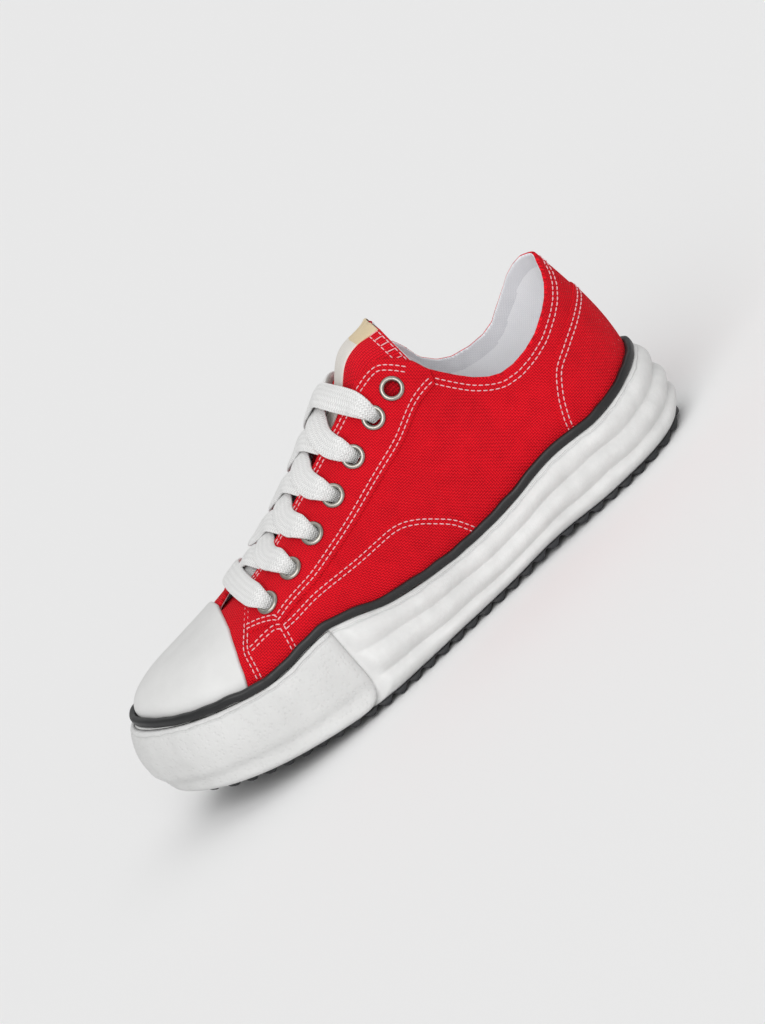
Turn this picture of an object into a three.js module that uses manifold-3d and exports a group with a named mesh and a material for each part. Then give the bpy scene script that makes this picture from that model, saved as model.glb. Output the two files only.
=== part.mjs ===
// Canvas sneaker, left shoe. Millimetres: +X to the toe, +Y to the outer side, +Z up, ground at z = 0.
import * as THREE from 'three';
import { mergeVertices } from 'three/addons/utils/BufferGeometryUtils.js';
import Module from 'manifold-3d';

const wasm = await Module();
wasm.setup();

// ---------------------------------------------------------------- driving dimensions
const CENTRE_SHIFT = 2.2; // puts the origin under the middle of the finished shoe
const GAP = 0.3; // between neighbouring pieces
const CANVAS_WALL = 2.2; // canvas, padding and lining together
const OUTSOLE_THICKNESS = 3.3;
const STRIPE_HEIGHT = 5.0;
const STRIPE_DEPTH = 3.6;
const CAP_THICKNESS = 1.5;
const BUMPER_THICKNESS = 2.6;
const BUMPER_END = 7.03; // rib number where the toe bumper stops, on both sides
const RIDGE_DEPTH = 2.2;
const INSOLE_THICKNESS = 4.5;
const TONGUE_DEPTH = 5.6; // tongue face below the upper's own surface
const TONGUE_THICKNESS = 3.0;
const LACE_WIDTH = 9.5;
const LACE_THICKNESS = 2.4;
const LUG_PITCH = 8.8;
const LUG_FACE = 4.8;
const LUG_DEPTH = 2.2;
const FOREFOOT_INSET = 5;
const HEEL_INSET = 2;
const TOE_LIFT = 14.2;
const HEEL_LIFT = 3.5;
const ARCH_LIFT = 1.5;
const HOLE_RADIUS = 3.7;
const EYELET_RADIUS = 5.9;
const BARREL_RADIUS = 4.2;
const PUNCH_RADIUS = 4.6;

// One row per rib, heel to toe. x, outer and inner place the rib's foot on the stripe's line, whose
// height is outerRim and innerRim. The rib climbs to topX, topZ, halfTop either side of the spine.
const RIB_COLUMNS = [
  'x', 'outer', 'inner', 'outerRim', 'innerRim', 'topX', 'spine', 'halfTop', 'topZ', 'rise',
  'belly', 'shoulder', 'drop', 'bulge', 'under', 'crown',
];
const RIB_ROWS = [
  [-147.5, 0, 0, 42.7, 42.7, -142, 0, 0, 119, 26, 4.5, 3, 26, 6.2, 3.6, 1.0],
  [-138.5, 20.5, 20, 39.5, 40, -133.5, 0, 12, 122, 28, 3.5, 3, 26, 6.0, 3.0, 1.2],
  [-116, 33.5, 32, 36.3, 37, -112, 0, 20, 130, 30, 0.5, 7, 30, 6.0, 2.5, 1.5],
  [-86, 37, 34, 37.7, 37, -84, 0, 20, 138, 40, 0, 8, 30, 6.5, 2.5, 1.8],
  [-54, 39, 33, 33.2, 34, -54, 0, 0, 130, 52, 0, 33, 0, 6.5, 2.5, 1.8],
  [-22, 42.5, 35, 33.2, 34, -21, 0, 0, 114, 42, 0, 31, 0, 6.5, 2.5, 2.0],
  [10, 47, 41, 38, 39, 11, 0, 0, 96.5, 30, -0.5, 30, 0, 7.0, 3.0, 2.5],
  [42, 50, 47, 48.9, 47, 42, -1, 0, 82.5, 19, 0, 30, 0, 7.5, 3.0, 3.0],
  [74, 47.5, 48.5, 46.8, 47, 71, -3, 0, 75, 14, 0.5, 30, 0, 8.5, 4.0, 3.5],
  [102, 38, 44.5, 50.8, 51.5, 91, -5, 0, 71.5, 9, 1, 26, 0, 10.5, 5.0, 4.5],
  [123, 20, 31.5, 55.5, 57, 102, -6, 0, 70, 7, 1, 20, 0, 13.5, 7.5, 6.0],
  [134.5, -7, 7, 59, 59, 108, -6, 0, 69.5, 6, 1, 15, 0, 15.5, 9, 6.6],
];
const RIBS = RIB_ROWS.map((row) => Object.fromEntries(RIB_COLUMNS.map((name, k) => [name, row[k]])));
const TOE = RIBS.length - 1;
const TURNS = 2 * TOE; // rib numbers run heel, outer side, toe, inner side and back to TURNS

// Height of the floor that the insole lies on.
const FLOOR = [
  { x: -160, z: 27 },
  { x: -100, z: 25.5 },
  { x: -40, z: 24 },
  { x: 20, z: 21.5 },
  { x: 70, z: 22 },
  { x: 110, z: 28 },
  { x: 145, z: 37 },
];
// Half width of the throat, seen from above.
const THROAT = [
  { x: 77, half: 1 },
  { x: 74, half: 6 },
  { x: 66, half: 10.5 },
  { x: 50, half: 13 },
  { x: 16, half: 13.5 },
  { x: -5, half: 16 },
  { x: -25, half: 18 },
  { x: -43, half: 21 },
  { x: -75, half: 24 },
];
// Edge of the eyestay's end and of the collar, seen from the side.
const EYESTAY_END = [[-40, 124], [-48.5, 120.3], [-53, 120.6], [-58, 118.8], [-63.5, 114.4], [-68, 109]];
const OUTER_COLLAR = [
  [-70.5, 102.5], [-74, 97.5], [-79, 91], [-84, 85.3], [-89.5, 80.8], [-95, 78.2], [-102, 77.6], [-110, 78.5],
  [-119, 80.8], [-128.5, 85.3], [-134, 88.6], [-138.5, 92.5], [-141.3, 96.5], [-142.8, 100.5], [-145, 103.5],
];
const INNER_COLLAR = [
  [-70.5, 102.5], [-72.5, 94], [-78, 87.5], [-84, 84], [-93.5, 82], [-102, 82], [-109, 84], [-113, 87],
  [-118, 90.5], [-124, 95], [-128.5, 98.8], [-134, 102], [-139, 103.8], [-145, 103.5],
];
// Rear edge of the toe cap, seen from the side.
const CAP_EDGE = [[74.5, 74.5], [76.5, 69.8], [78.8, 66.4], [80.8, 62.7], [82.8, 58.7], [84.8, 54.2], [88, 44]];
// Eyelets, toe to ankle: rib number, and reach down the rib from the spine.
const EYELETS = [
  { rib: 7.41, reach: 0.505 },
  { rib: 6.84, reach: 0.477 },
  { rib: 6.27, reach: 0.442 },
  { rib: 5.68, reach: 0.427 },
  { rib: 5.1, reach: 0.427 },
  { rib: 4.52, reach: 0.437 },
  { rib: 4.06, reach: 0.442 },
];

// ---------------------------------------------------------------- small maths
const clamp = THREE.MathUtils.clamp;
const lerp = THREE.MathUtils.lerp;
const smooth = THREE.MathUtils.smoothstep;
const steps = (count) => Array.from({ length: count + 1 }, (_, k) => k / count);
const point = (x, y, z) => new THREE.Vector3(x, y, z);

function catmull(a, b, c, d, t) {
  const linear = c - a;
  const square = 2 * a - 5 * b + 4 * c - d;
  const cube = 3 * b - a - 3 * c + d;
  return 0.5 * (2 * b + linear * t + square * t * t + cube * t * t * t);
}

// Reads a column of a short table at x, with smooth steps between its rows.
function follow(table, x, column) {
  const rows = table[0].x < table[1].x ? table : [...table].reverse();
  const last = rows.length - 1;
  const at = clamp(x, rows[0].x, rows[last].x);
  let k = 0;
  while (k < last - 1 && at > rows[k + 1].x) k += 1;
  const t = (at - rows[k].x) / (rows[k + 1].x - rows[k].x);
  const near = [k - 1, k, k + 1, k + 2].map((j) => rows[clamp(j, 0, last)][column]);
  return catmull(...near, t);
}

// ---------------------------------------------------------------- the last
// The rib table as one closed run of rows: out along the outer side, back along the inner side.
const closedRibs = [];
for (let k = 0; k < TURNS; k += 1) {
  const isOuter = k <= TOE;
  const rib = RIBS[isOuter ? k : TURNS - k];
  closedRibs.push({
    ...rib,
    y: isOuter ? rib.outer : -rib.inner,
    rim: isOuter ? rib.outerRim : rib.innerRim,
    topY: rib.spine + (isOuter ? rib.halfTop : -rib.halfTop),
  });
}

// Value of one column at a fractional rib number.
function ribValue(turn, column) {
  const wrapped = ((turn % TURNS) + TURNS) % TURNS;
  const k = Math.floor(wrapped);
  const near = [-1, 0, 1, 2].map((d) => closedRibs[(k + d + TURNS) % TURNS][column]);
  return catmull(...near, wrapped - k);
}

const isOuterSide = (turn) => ((turn % TURNS) + TURNS) % TURNS <= TOE;

function spineY(turn) {
  const rib = Math.min(turn, TURNS - turn);
  const k = clamp(Math.floor(rib), 0, TOE - 1);
  return lerp(RIBS[k].spine, RIBS[k + 1].spine, rib - k);
}

const rimPoint = (turn) => point(ribValue(turn, 'x'), ribValue(turn, 'y'), ribValue(turn, 'rim'));

function crestPoint(turn) {
  const spine = spineY(((turn % TURNS) + TURNS) % TURNS);
  const half = ribValue(turn, 'topY') - spine;
  const kept = isOuterSide(turn) ? Math.max(half, 0) : Math.min(half, 0);
  return point(ribValue(turn, 'topX'), spine + kept, ribValue(turn, 'topZ'));
}

// Surface of the lasted upper: height 0 is the rim, 1 is the spine. Each rib is one cubic Bezier.
function lastPoint(turn, height) {
  const foot = rimPoint(turn);
  const crest = crestPoint(turn);
  const out = foot.clone().sub(crest).setZ(0).normalize();
  const low = foot.clone().addScaledVector(out, ribValue(turn, 'belly'));
  low.z += ribValue(turn, 'rise');
  const high = crest.clone().addScaledVector(out, ribValue(turn, 'shoulder'));
  high.z -= ribValue(turn, 'drop');
  const rest = 1 - height;
  return foot.multiplyScalar(rest ** 3)
    .addScaledVector(low, 3 * rest * rest * height)
    .addScaledVector(high, 3 * rest * height * height)
    .addScaledVector(crest, height ** 3);
}

// Level direction that points out of the shoe at the rim.
function rimOut(turn) {
  const along = rimPoint(turn + 0.05).sub(rimPoint(turn - 0.05));
  return point(-along.y, along.x, 0).normalize();
}

function lastNormal(turn, height) {
  const along = lastPoint(turn + 0.02, height).sub(lastPoint(turn - 0.02, height));
  const lower = Math.max(height - 0.02, 0);
  const upper = Math.min(height + 0.02, 1);
  const climb = lastPoint(turn, upper).sub(lastPoint(turn, lower));
  if (height < 1) return climb.cross(along).normalize();
  const rib = Math.min(turn, TURNS - turn);
  const run = crestPoint(rib).sub(crestPoint(rib - 0.4));
  return point(-run.z, 0, run.x).normalize();
}

const offsetPoint = (turn, height, distance) =>
  lastPoint(turn, height).addScaledVector(lastNormal(turn, height), distance);

const rimOffset = (turn, distance) => rimPoint(turn).addScaledVector(rimOut(turn), distance);

// A place on one rib, measured from the spine: positive reach is on the outer side.
const across = (rib, reach, distance) =>
  offsetPoint(reach >= 0 ? rib : TURNS - rib, 1 - Math.abs(reach), distance);

// Outward normal there.
const acrossNormal = (rib, reach) => lastNormal(reach >= 0 ? rib : TURNS - rib, 1 - Math.abs(reach));

// ---------------------------------------------------------------- meshes
// A closed body through a run of closed sections. Without ring, both ends are closed by a strip
// that pairs point k with point (count - shift - k).
function sweep(sections, { ring = false, shift = 0 } = {}) {
  const count = sections[0].length;
  const position = sections.flat().flatMap((p) => [p.x, p.y, p.z]);
  const index = [];
  const quad = (a, b, c, d) => index.push(a, b, c, a, c, d);
  const last = ring ? sections.length : sections.length - 1;
  for (let s = 0; s < last; s += 1) {
    const here = s * count;
    const next = ((s + 1) % sections.length) * count;
    for (let k = 0; k < count; k += 1) {
      const after = (k + 1) % count;
      quad(here + k, next + k, next + after, here + after);
    }
  }
  const pair = (k) => (2 * count - shift - k) % count;
  const end = (sections.length - 1) * count;
  for (let k = 0; !ring && k < Math.ceil((count - shift) / 2); k += 1) {
    quad(k, k + 1, pair(k + 1), pair(k));
    quad(end + pair(k), end + pair(k + 1), end + k + 1, end + k);
  }
  return weld(position, index);
}

// Welds equal points, drops empty triangles and turns the faces outward.
function weld(position, index) {
  const raw = new THREE.BufferGeometry();
  raw.setAttribute('position', new THREE.Float32BufferAttribute(position, 3));
  raw.setIndex(index);
  const merged = mergeVertices(raw, 1e-3);
  const places = merged.getAttribute('position');
  const corner = (k) => new THREE.Vector3().fromBufferAttribute(places, k);
  const kept = [];
  let volume = 0;
  const all = merged.getIndex().array;
  for (let k = 0; k < all.length; k += 3) {
    const [a, b, c] = [all[k], all[k + 1], all[k + 2]];
    if (a === b || b === c || a === c) continue;
    kept.push(a, b, c);
    volume += corner(a).dot(corner(b).cross(corner(c)));
  }
  merged.setIndex(volume < 0 ? kept.reverse() : kept);
  return merged;
}

function toManifold(geometry) {
  const vertProperties = new Float32Array(geometry.getAttribute('position').array);
  const triVerts = new Uint32Array(geometry.getIndex().array);
  return new wasm.Manifold(new wasm.Mesh({ numProp: 3, vertProperties, triVerts }));
}

function fromManifold(solid) {
  const mesh = solid.getMesh();
  return weld(Array.from(mesh.vertProperties), Array.from(mesh.triVerts));
}

// A prism with its outline in the XZ plane, between two values of y.
function sidePrism(outline, fromY, toY) {
  const shape = new THREE.Shape(outline.map(([x, z]) => new THREE.Vector2(x, z)));
  const prism = new THREE.ExtrudeGeometry(shape, { depth: toY - fromY, bevelEnabled: false });
  prism.rotateX(Math.PI / 2);
  prism.translate(0, toY, 0);
  const indices = Array.from({ length: prism.getAttribute('position').count }, (_, k) => k);
  return toManifold(weld(Array.from(prism.getAttribute('position').array), indices));
}

// A prism with its outline in the XY plane, between two heights.
function plumbPrism(outline, fromZ, toZ) {
  const shape = new THREE.Shape(outline.map(([x, y]) => new THREE.Vector2(x, y)));
  const prism = new THREE.ExtrudeGeometry(shape, { depth: toZ - fromZ, bevelEnabled: false });
  prism.translate(0, 0, fromZ);
  const indices = Array.from({ length: prism.getAttribute('position').count }, (_, k) => k);
  return toManifold(weld(Array.from(prism.getAttribute('position').array), indices));
}

// ---------------------------------------------------------------- sole
const SOLE_TURNS = steps(66).slice(0, -1).map((t) => t * TURNS);
// The wall's three ridges meet in grooves at these levels, from its foot (0) to its top edge (1).
const GROOVES = [0, 0.27, 0.62, 1];
const WALL_LEVELS = [0, 0.09, 0.18, 0.27, 0.38, 0.5, 0.62, 0.74, 0.87, 1];
const floorHeight = (x) => follow(FLOOR, x, 'z');

// Underside of the tread: flat under heel and ball, sprung at the toe, rounded at the heel.
function treadHeight(x) {
  const toe = TOE_LIFT * (Math.max(x - 30, 0) / 110) ** 1.5;
  const heel = HEEL_LIFT * (Math.max(-132 - x, 0) / 20) ** 2;
  const arch = ARCH_LIFT * Math.sin(Math.PI * clamp((x + 100) / 70, 0, 1)) ** 2;
  return toe + heel + arch;
}

// How far the sole's wall stands out from the rim, from its foot (0) to its top edge (1).
function wallOffset(turn, level, ridge) {
  const under = ribValue(turn, 'under') * Math.max(1 - level / 0.4, 0) ** 2;
  const crown = ribValue(turn, 'crown') * Math.max((level - 0.5) / 0.5, 0) ** 2;
  const k = GROOVES.findLastIndex((groove, j) => j < 3 && level >= groove);
  const lobe = Math.sin((Math.PI * (level - GROOVES[k])) / (GROOVES[k + 1] - GROOVES[k]));
  return ribValue(turn, 'bulge') - under - crown + ridge * (lobe - 0.6);
}

function wallPoint(turn, level, offset) {
  const place = rimOffset(turn, offset);
  const foot = treadHeight(place.x) + OUTSOLE_THICKNESS;
  const top = ribValue(turn, 'rim') - STRIPE_HEIGHT / 2 - GAP;
  place.z = lerp(foot, top, level);
  return place;
}

function buildMidsole() {
  const bumperPart = (turn) => smooth(Math.min(turn, TURNS - turn), BUMPER_END - 0.33, BUMPER_END - 0.04);
  const wall = (turn, level) => {
    const covered = bumperPart(turn);
    const ridge = RIDGE_DEPTH * (1 - covered);
    return wallPoint(turn, level, wallOffset(turn, level, ridge) - covered * (BUMPER_THICKNESS + GAP));
  };
  const loops = WALL_LEVELS.map((level) => SOLE_TURNS.map((turn) => wall(turn, level)));
  loops.push(SOLE_TURNS.map((turn) => wallPoint(turn, 1, GAP)));
  loops.push(SOLE_TURNS.map((turn) => {
    const place = rimOffset(turn, GAP);
    place.z = floorHeight(place.x);
    return place;
  }));
  return sweep(loops);
}

// Smooth rubber that wraps the toe, over the midsole's wall.
function buildBumper() {
  const inside = SOLE_TURNS.filter((turn) => turn > BUMPER_END && turn < TURNS - BUMPER_END);
  const turns = [BUMPER_END, ...inside, TURNS - BUMPER_END];
  return sweep(turns.map((turn) => {
    const levels = WALL_LEVELS.map((level) => clamp(level, 0.01, 0.99));
    const face = (depth) => levels.map((level) => wallPoint(turn, level, wallOffset(turn, level, 0) - depth));
    return [...face(0), ...face(BUMPER_THICKNESS).reverse()];
  }), { shift: 1 });
}

function buildStripe() {
  const section = (turn) => {
    const capped = smooth(ribValue(turn, 'x'), 74, 82);
    const inner = 2 * GAP + capped * (CAP_THICKNESS + GAP);
    const outer = inner + STRIPE_DEPTH;
    const half = STRIPE_HEIGHT / 2;
    const corners = [
      [inner, -half], [outer - 1, -half], [outer, -half + 1.2], [outer, half - 1.4], [outer - 1.2, half], [inner, half],
    ];
    return corners.map(([offset, z]) => rimOffset(turn, offset).add(point(0, 0, z)));
  };
  return sweep(SOLE_TURNS.map(section), { ring: true });
}

// Black tread with straight-faced lugs that zigzag across the sole.
function buildOutsole() {
  const edge = (turn) => {
    const x = ribValue(turn, 'x');
    const inset = 1.2 + FOREFOOT_INSET * smooth(x, 36, 62) + HEEL_INSET * smooth(-x, 125, 145);
    return rimOffset(turn, wallOffset(turn, 0, 0) - inset);
  };
  const findEdge = (x, fromTurn, toTurn) => {
    let [near, far] = [fromTurn, toTurn];
    for (let k = 0; k < 30; k += 1) {
      const middle = (near + far) / 2;
      if (edge(middle).x < x) near = middle;
      else far = middle;
    }
    return edge(near);
  };
  const heelX = edge(0).x + 1.5;
  const toeX = edge(TOE).x - 1.5;
  const lugs = Math.floor((toeX - heelX) / LUG_PITCH);
  const marks = [];
  for (let k = 0; k < lugs; k += 1) {
    const x = heelX + k * LUG_PITCH;
    marks.push({ x, lift: 0 }, { x: x + LUG_FACE, lift: 0 });
    if (k < lugs - 1) marks.push({ x: x + (LUG_FACE + LUG_PITCH) / 2, lift: LUG_DEPTH });
  }
  const WAVES = 4;
  const sections = marks.map(({ x, lift }, k) => {
    const outer = findEdge(x, 0.001, TOE);
    const inner = findEdge(x, TURNS - 0.001, TOE);
    const fade = k < 3 || k > marks.length - 4 ? 0 : 1.8;
    const under = steps(WAVES).map((t, j) => {
      const zigzag = j === 0 || j === WAVES ? 0 : fade * (j % 2 ? 1 : -1);
      const place = point(x + zigzag, lerp(inner.y, outer.y, t), 0);
      place.z = treadHeight(x) + lift;
      return place;
    });
    const top = [under[WAVES].clone(), under[0].clone()];
    top.forEach((place) => { place.z = treadHeight(x) + OUTSOLE_THICKNESS - GAP; });
    return [...under, ...top];
  });
  return sweep(sections, { shift: 0 });
}

// ---------------------------------------------------------------- upper
const UPPER_TURNS = steps(66).slice(0, -1).map((t) => t * TURNS);
const UPPER_HEIGHTS = [0.09, 0.2, 0.34, 0.48, 0.62, 0.76, 0.89, 1];

// The last grown by distance, with a level wall from its rim down to bottom(place).
function lastBody(distance, bottom) {
  const foot = UPPER_TURNS.map((turn) => {
    const place = rimOffset(turn, distance);
    place.z = bottom(place);
    return place;
  });
  const rim = UPPER_TURNS.map((turn) => rimOffset(turn, distance));
  const rest = UPPER_HEIGHTS.map((height) => UPPER_TURNS.map((turn) => offsetPoint(turn, height, distance)));
  return toManifold(sweep([foot, rim, ...rest]));
}

function buildUpper() {
  const shell = lastBody(0, (place) => floorHeight(place.x) + GAP)
    .subtract(lastBody(-CANVAS_WALL, (place) => floorHeight(place.x) - 6));
  const edge = THROAT.map(({ x, half }) => [x, half]);
  const throat = plumbPrism([...edge, ...edge.map(([x, y]) => [x, -y]).reverse()], 45, 170);
  const above = [[-170, 103.5], [-170, 175], [-40, 175]];
  const collar = sidePrism([...EYESTAY_END, ...OUTER_COLLAR, ...above], 0, 90)
    .add(sidePrism([...EYESTAY_END, ...INNER_COLLAR, ...above], -90, 0));
  let upper = shell.subtract(throat).subtract(collar);
  for (const { place, axis } of eyeletPlaces()) {
    upper = upper.subtract(toManifold(rod(place, axis, PUNCH_RADIUS, -7, 5)));
  }
  return fromManifold(upper);
}

// Toe cap: the last grown twice, kept ahead of the cap's rear edge.
function buildToeCap() {
  const outer = lastBody(GAP + CAP_THICKNESS, (place) => place.z - 2.2);
  const inner = lastBody(GAP, (place) => place.z - 12);
  const front = [[150, 44], [150, 95], [74.5, 95]];
  return fromManifold(outer.subtract(inner).intersect(sidePrism([...CAP_EDGE, ...front], -80, 80)));
}

function buildTongue() {
  const sections = steps(13).map((t) => {
    const face = (depth) => steps(8).map((s) => {
      const side = 2 * s - 1;
      const rib = lerp(8.15, 3.62 - 0.14 * Math.abs(side), t);
      return across(rib, side * lerp(0.28, 0.46, t), -depth);
    });
    return [...face(TONGUE_DEPTH), ...face(TONGUE_DEPTH + TONGUE_THICKNESS).reverse()];
  });
  return sweep(sections, { shift: 1 });
}

function buildInsole() {
  const loop = (lift) => SOLE_TURNS.map((turn) => {
    const place = rimOffset(turn, -CANVAS_WALL - GAP);
    place.z = floorHeight(place.x) + lift;
    return place;
  });
  return sweep([loop(GAP), loop(GAP + INSOLE_THICKNESS)]);
}

// ---------------------------------------------------------------- eyelets and lace
function eyeletPlaces() {
  const sides = [{ side: 'outer', sign: 1 }, { side: 'inner', sign: -1 }];
  return sides.flatMap(({ side, sign }) => EYELETS.map(({ rib, reach }, k) => ({
    name: `eyelet_${side}_${k + 1}`,
    place: across(rib, sign * reach, 0),
    axis: acrossNormal(rib, sign * reach),
  })));
}

// Points of a circle about an axis.
function circle(place, axis, radius, height, sides = 8) {
  const turnTo = new THREE.Quaternion().setFromUnitVectors(point(0, 0, 1), axis);
  return steps(sides).slice(0, -1).map((t) => {
    const angle = 2 * Math.PI * t;
    const spoke = point(radius * Math.cos(angle), radius * Math.sin(angle), height);
    return spoke.applyQuaternion(turnTo).add(place);
  });
}

const rod = (place, axis, radius, from, to) =>
  sweep([circle(place, axis, radius, from), circle(place, axis, radius, to)]);

function buildEyelet({ place, axis }) {
  const profile = [
    [HOLE_RADIUS, -2], [BARREL_RADIUS, -2], [BARREL_RADIUS, 0.4], [EYELET_RADIUS, 0.4], [EYELET_RADIUS, 1.1],
    [HOLE_RADIUS, 1.5],
  ];
  return sweep(profile.map(([radius, height]) => circle(place, axis, radius, height)), { ring: true });
}

// A flat lace through {rib, reach, lift} stations, lift measured from the last's surface.
function buildStrand(stations) {
  const centre = stations.map(({ rib, reach, lift }) => across(rib, reach, lift));
  const half = LACE_WIDTH / 2;
  const thick = LACE_THICKNESS / 2;
  const corners = [[-half, 0], [1.2 - half, thick], [half - 1.2, thick], [half, 0], [half - 1.2, -thick], [1.2 - half, -thick]];
  return toManifold(sweep(centre.map((place, k) => {
    const before = centre[Math.max(k - 1, 0)];
    const after = centre[Math.min(k + 1, centre.length - 1)];
    const along = after.clone().sub(before).normalize();
    const wide = acrossNormal(stations[k].rib, stations[k].reach).cross(along).normalize();
    const up = along.clone().cross(wide);
    return corners.map(([w, h]) => place.clone().addScaledVector(wide, w).addScaledVector(up, h));
  }), { shift: 1 }));
}

// One strand: over the near edge, across the tongue and under the far edge.
function strandStations(level, sign, middleLift) {
  const near = EYELETS[level];
  const far = EYELETS[level - 1];
  const start = near.reach - 0.14;
  const end = -0.25;
  return steps(9).map((t) => {
    const reach = lerp(start, end, t);
    const along = clamp((near.reach - reach) / (near.reach + far.reach), 0, 1);
    const dip = reach > 0 ? lerp(middleLift, 1.9, smooth(reach, 0, 0.15)) : lerp(middleLift, -3.9, smooth(-reach, 0, 0.14));
    return { rib: lerp(near.rib, far.rib, along), reach: sign * reach, lift: dip };
  });
}

function buildLaces() {
  const [lowest] = EYELETS;
  const end = lowest.reach - 0.15;
  const bar = buildStrand(steps(8).map((t) => {
    const reach = lerp(end, -end, t);
    return { rib: lowest.rib + 0.14 * (1 - (reach / end) ** 2), reach, lift: 1.9 };
  }));
  const laces = [{ name: 'lace_bar', geometry: fromManifold(bar) }];
  for (let level = 1; level < EYELETS.length - 1; level += 1) {
    const over = buildStrand(strandStations(level, 1, 1.1));
    const under = buildStrand(strandStations(level, -1, -0.9));
    laces.push({ name: `lace_crossing_${level}`, geometry: fromManifold(over.add(under)) });
  }
  return laces;
}

// ---------------------------------------------------------------- scene graph
const paint = (color, roughness, metalness = 0) => new THREE.MeshStandardMaterial({ color, roughness, metalness });
const whiteRubber = paint('#dcdcda', 0.55);
const blackRubber = paint('#2c2c2e', 0.7);
const redCanvas = paint('#c4102a', 0.9);
const whiteCotton = paint('#e4e0dc', 0.95);
const nickel = paint('#b9b6b0', 0.3, 1);

const sneaker = new THREE.Group();
sneaker.name = 'canvas_sneaker';
sneaker.position.x = CENTRE_SHIFT;
function place(name, geometry, material) {
  const mesh = new THREE.Mesh(geometry, material);
  mesh.name = name;
  sneaker.add(mesh);
}
place('outsole', buildOutsole(), blackRubber);
place('midsole', buildMidsole(), whiteRubber);
place('toe_bumper', buildBumper(), whiteRubber);
place('foxing_stripe', buildStripe(), blackRubber);
place('insole', buildInsole(), whiteCotton);
place('upper', buildUpper(), redCanvas);
place('toe_cap', buildToeCap(), whiteRubber);
place('tongue', buildTongue(), redCanvas);
buildLaces().forEach(({ name, geometry }) => place(name, geometry, whiteCotton));
eyeletPlaces().forEach((eyelet) => place(eyelet.name, buildEyelet(eyelet), nickel));

export default sneaker;
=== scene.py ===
# %% [markdown]
# # A canvas sneaker, dressed
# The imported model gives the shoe's solids in millimetre-true places. This lesson loads it as a
# fixed frame and makes the fine surfaces that the eye wants: cloth with a weave, folded and
# stitched edges, poured rubber, braided laces.

# %% Load the frame
import math

import bmesh
import bpy
import numpy as np
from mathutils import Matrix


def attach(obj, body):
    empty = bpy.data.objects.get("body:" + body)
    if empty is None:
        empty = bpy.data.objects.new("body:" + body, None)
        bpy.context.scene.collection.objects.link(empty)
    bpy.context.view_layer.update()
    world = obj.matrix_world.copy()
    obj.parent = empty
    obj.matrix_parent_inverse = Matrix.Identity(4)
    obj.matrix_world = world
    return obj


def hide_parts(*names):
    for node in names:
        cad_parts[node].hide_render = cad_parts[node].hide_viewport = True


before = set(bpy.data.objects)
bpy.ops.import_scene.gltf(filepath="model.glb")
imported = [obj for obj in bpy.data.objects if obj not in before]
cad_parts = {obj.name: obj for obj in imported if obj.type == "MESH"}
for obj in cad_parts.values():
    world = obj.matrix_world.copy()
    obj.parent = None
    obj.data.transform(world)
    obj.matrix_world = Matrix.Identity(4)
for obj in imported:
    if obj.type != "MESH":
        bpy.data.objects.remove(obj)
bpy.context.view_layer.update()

# %% [markdown]
# ## The camera
# The shoe stands level, and the camera leans: it looks at the outer side from 15 degrees above,
# rolled 41 degrees so that the toe points down to the left. A long lens at 3 m keeps the lines of
# the sole parallel, as in a catalogue shot.

# %% Camera
ROLL, RISE = math.radians(41), math.radians(15)
DISTANCE = 3.0
VIEW_HEIGHT = 0.4763
LOOK_AT = np.array([-0.0096, 0.0, 0.0576])


def link_object(name, data, axes=None, place=(0, 0, 0)):
    """An object in the scene. axes are its three directions, the columns of its matrix."""
    obj = bpy.data.objects.new(name, data)
    bpy.context.scene.collection.objects.link(obj)
    if axes is not None:
        matrix = np.eye(4)
        matrix[:3, :3], matrix[:3, 3] = np.array(axes).T, place
        obj.matrix_world = matrix.T.tolist()
    return obj


def point_camera():
    """back = outer side leaned up by RISE; right = minus X turned towards the ground by ROLL; up =
    back x right."""
    back = np.array([0, math.cos(RISE), math.sin(RISE)])
    upright = np.array([0, -math.sin(RISE), math.cos(RISE)])
    along = np.array([1.0, 0, 0])
    right = -math.cos(ROLL) * along - math.sin(ROLL) * upright
    up = -math.sin(ROLL) * along + math.cos(ROLL) * upright
    lens = bpy.data.cameras.new("camera")
    lens.lens = 36 * DISTANCE / VIEW_HEIGHT
    lens.clip_end = 100
    camera = link_object("camera", lens, (right, up, back), LOOK_AT + DISTANCE * back)
    bpy.context.scene.camera = camera
    print("lens", round(lens.lens, 1), "mm at", DISTANCE, "m")


point_camera()

# %% [markdown]
# ## The last
# A shoe is built round a last, a solid foot shape. Here it is a table of ribs, as in a boat: each
# rib starts where canvas meets sole and climbs to the crest in one Bezier curve. Rib numbers run
# from the heel (0) along the outer side to the toe (11) and back along the inner side to 22. A rib
# number and a height from 0 to 1 name any place on the upper.

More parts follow.
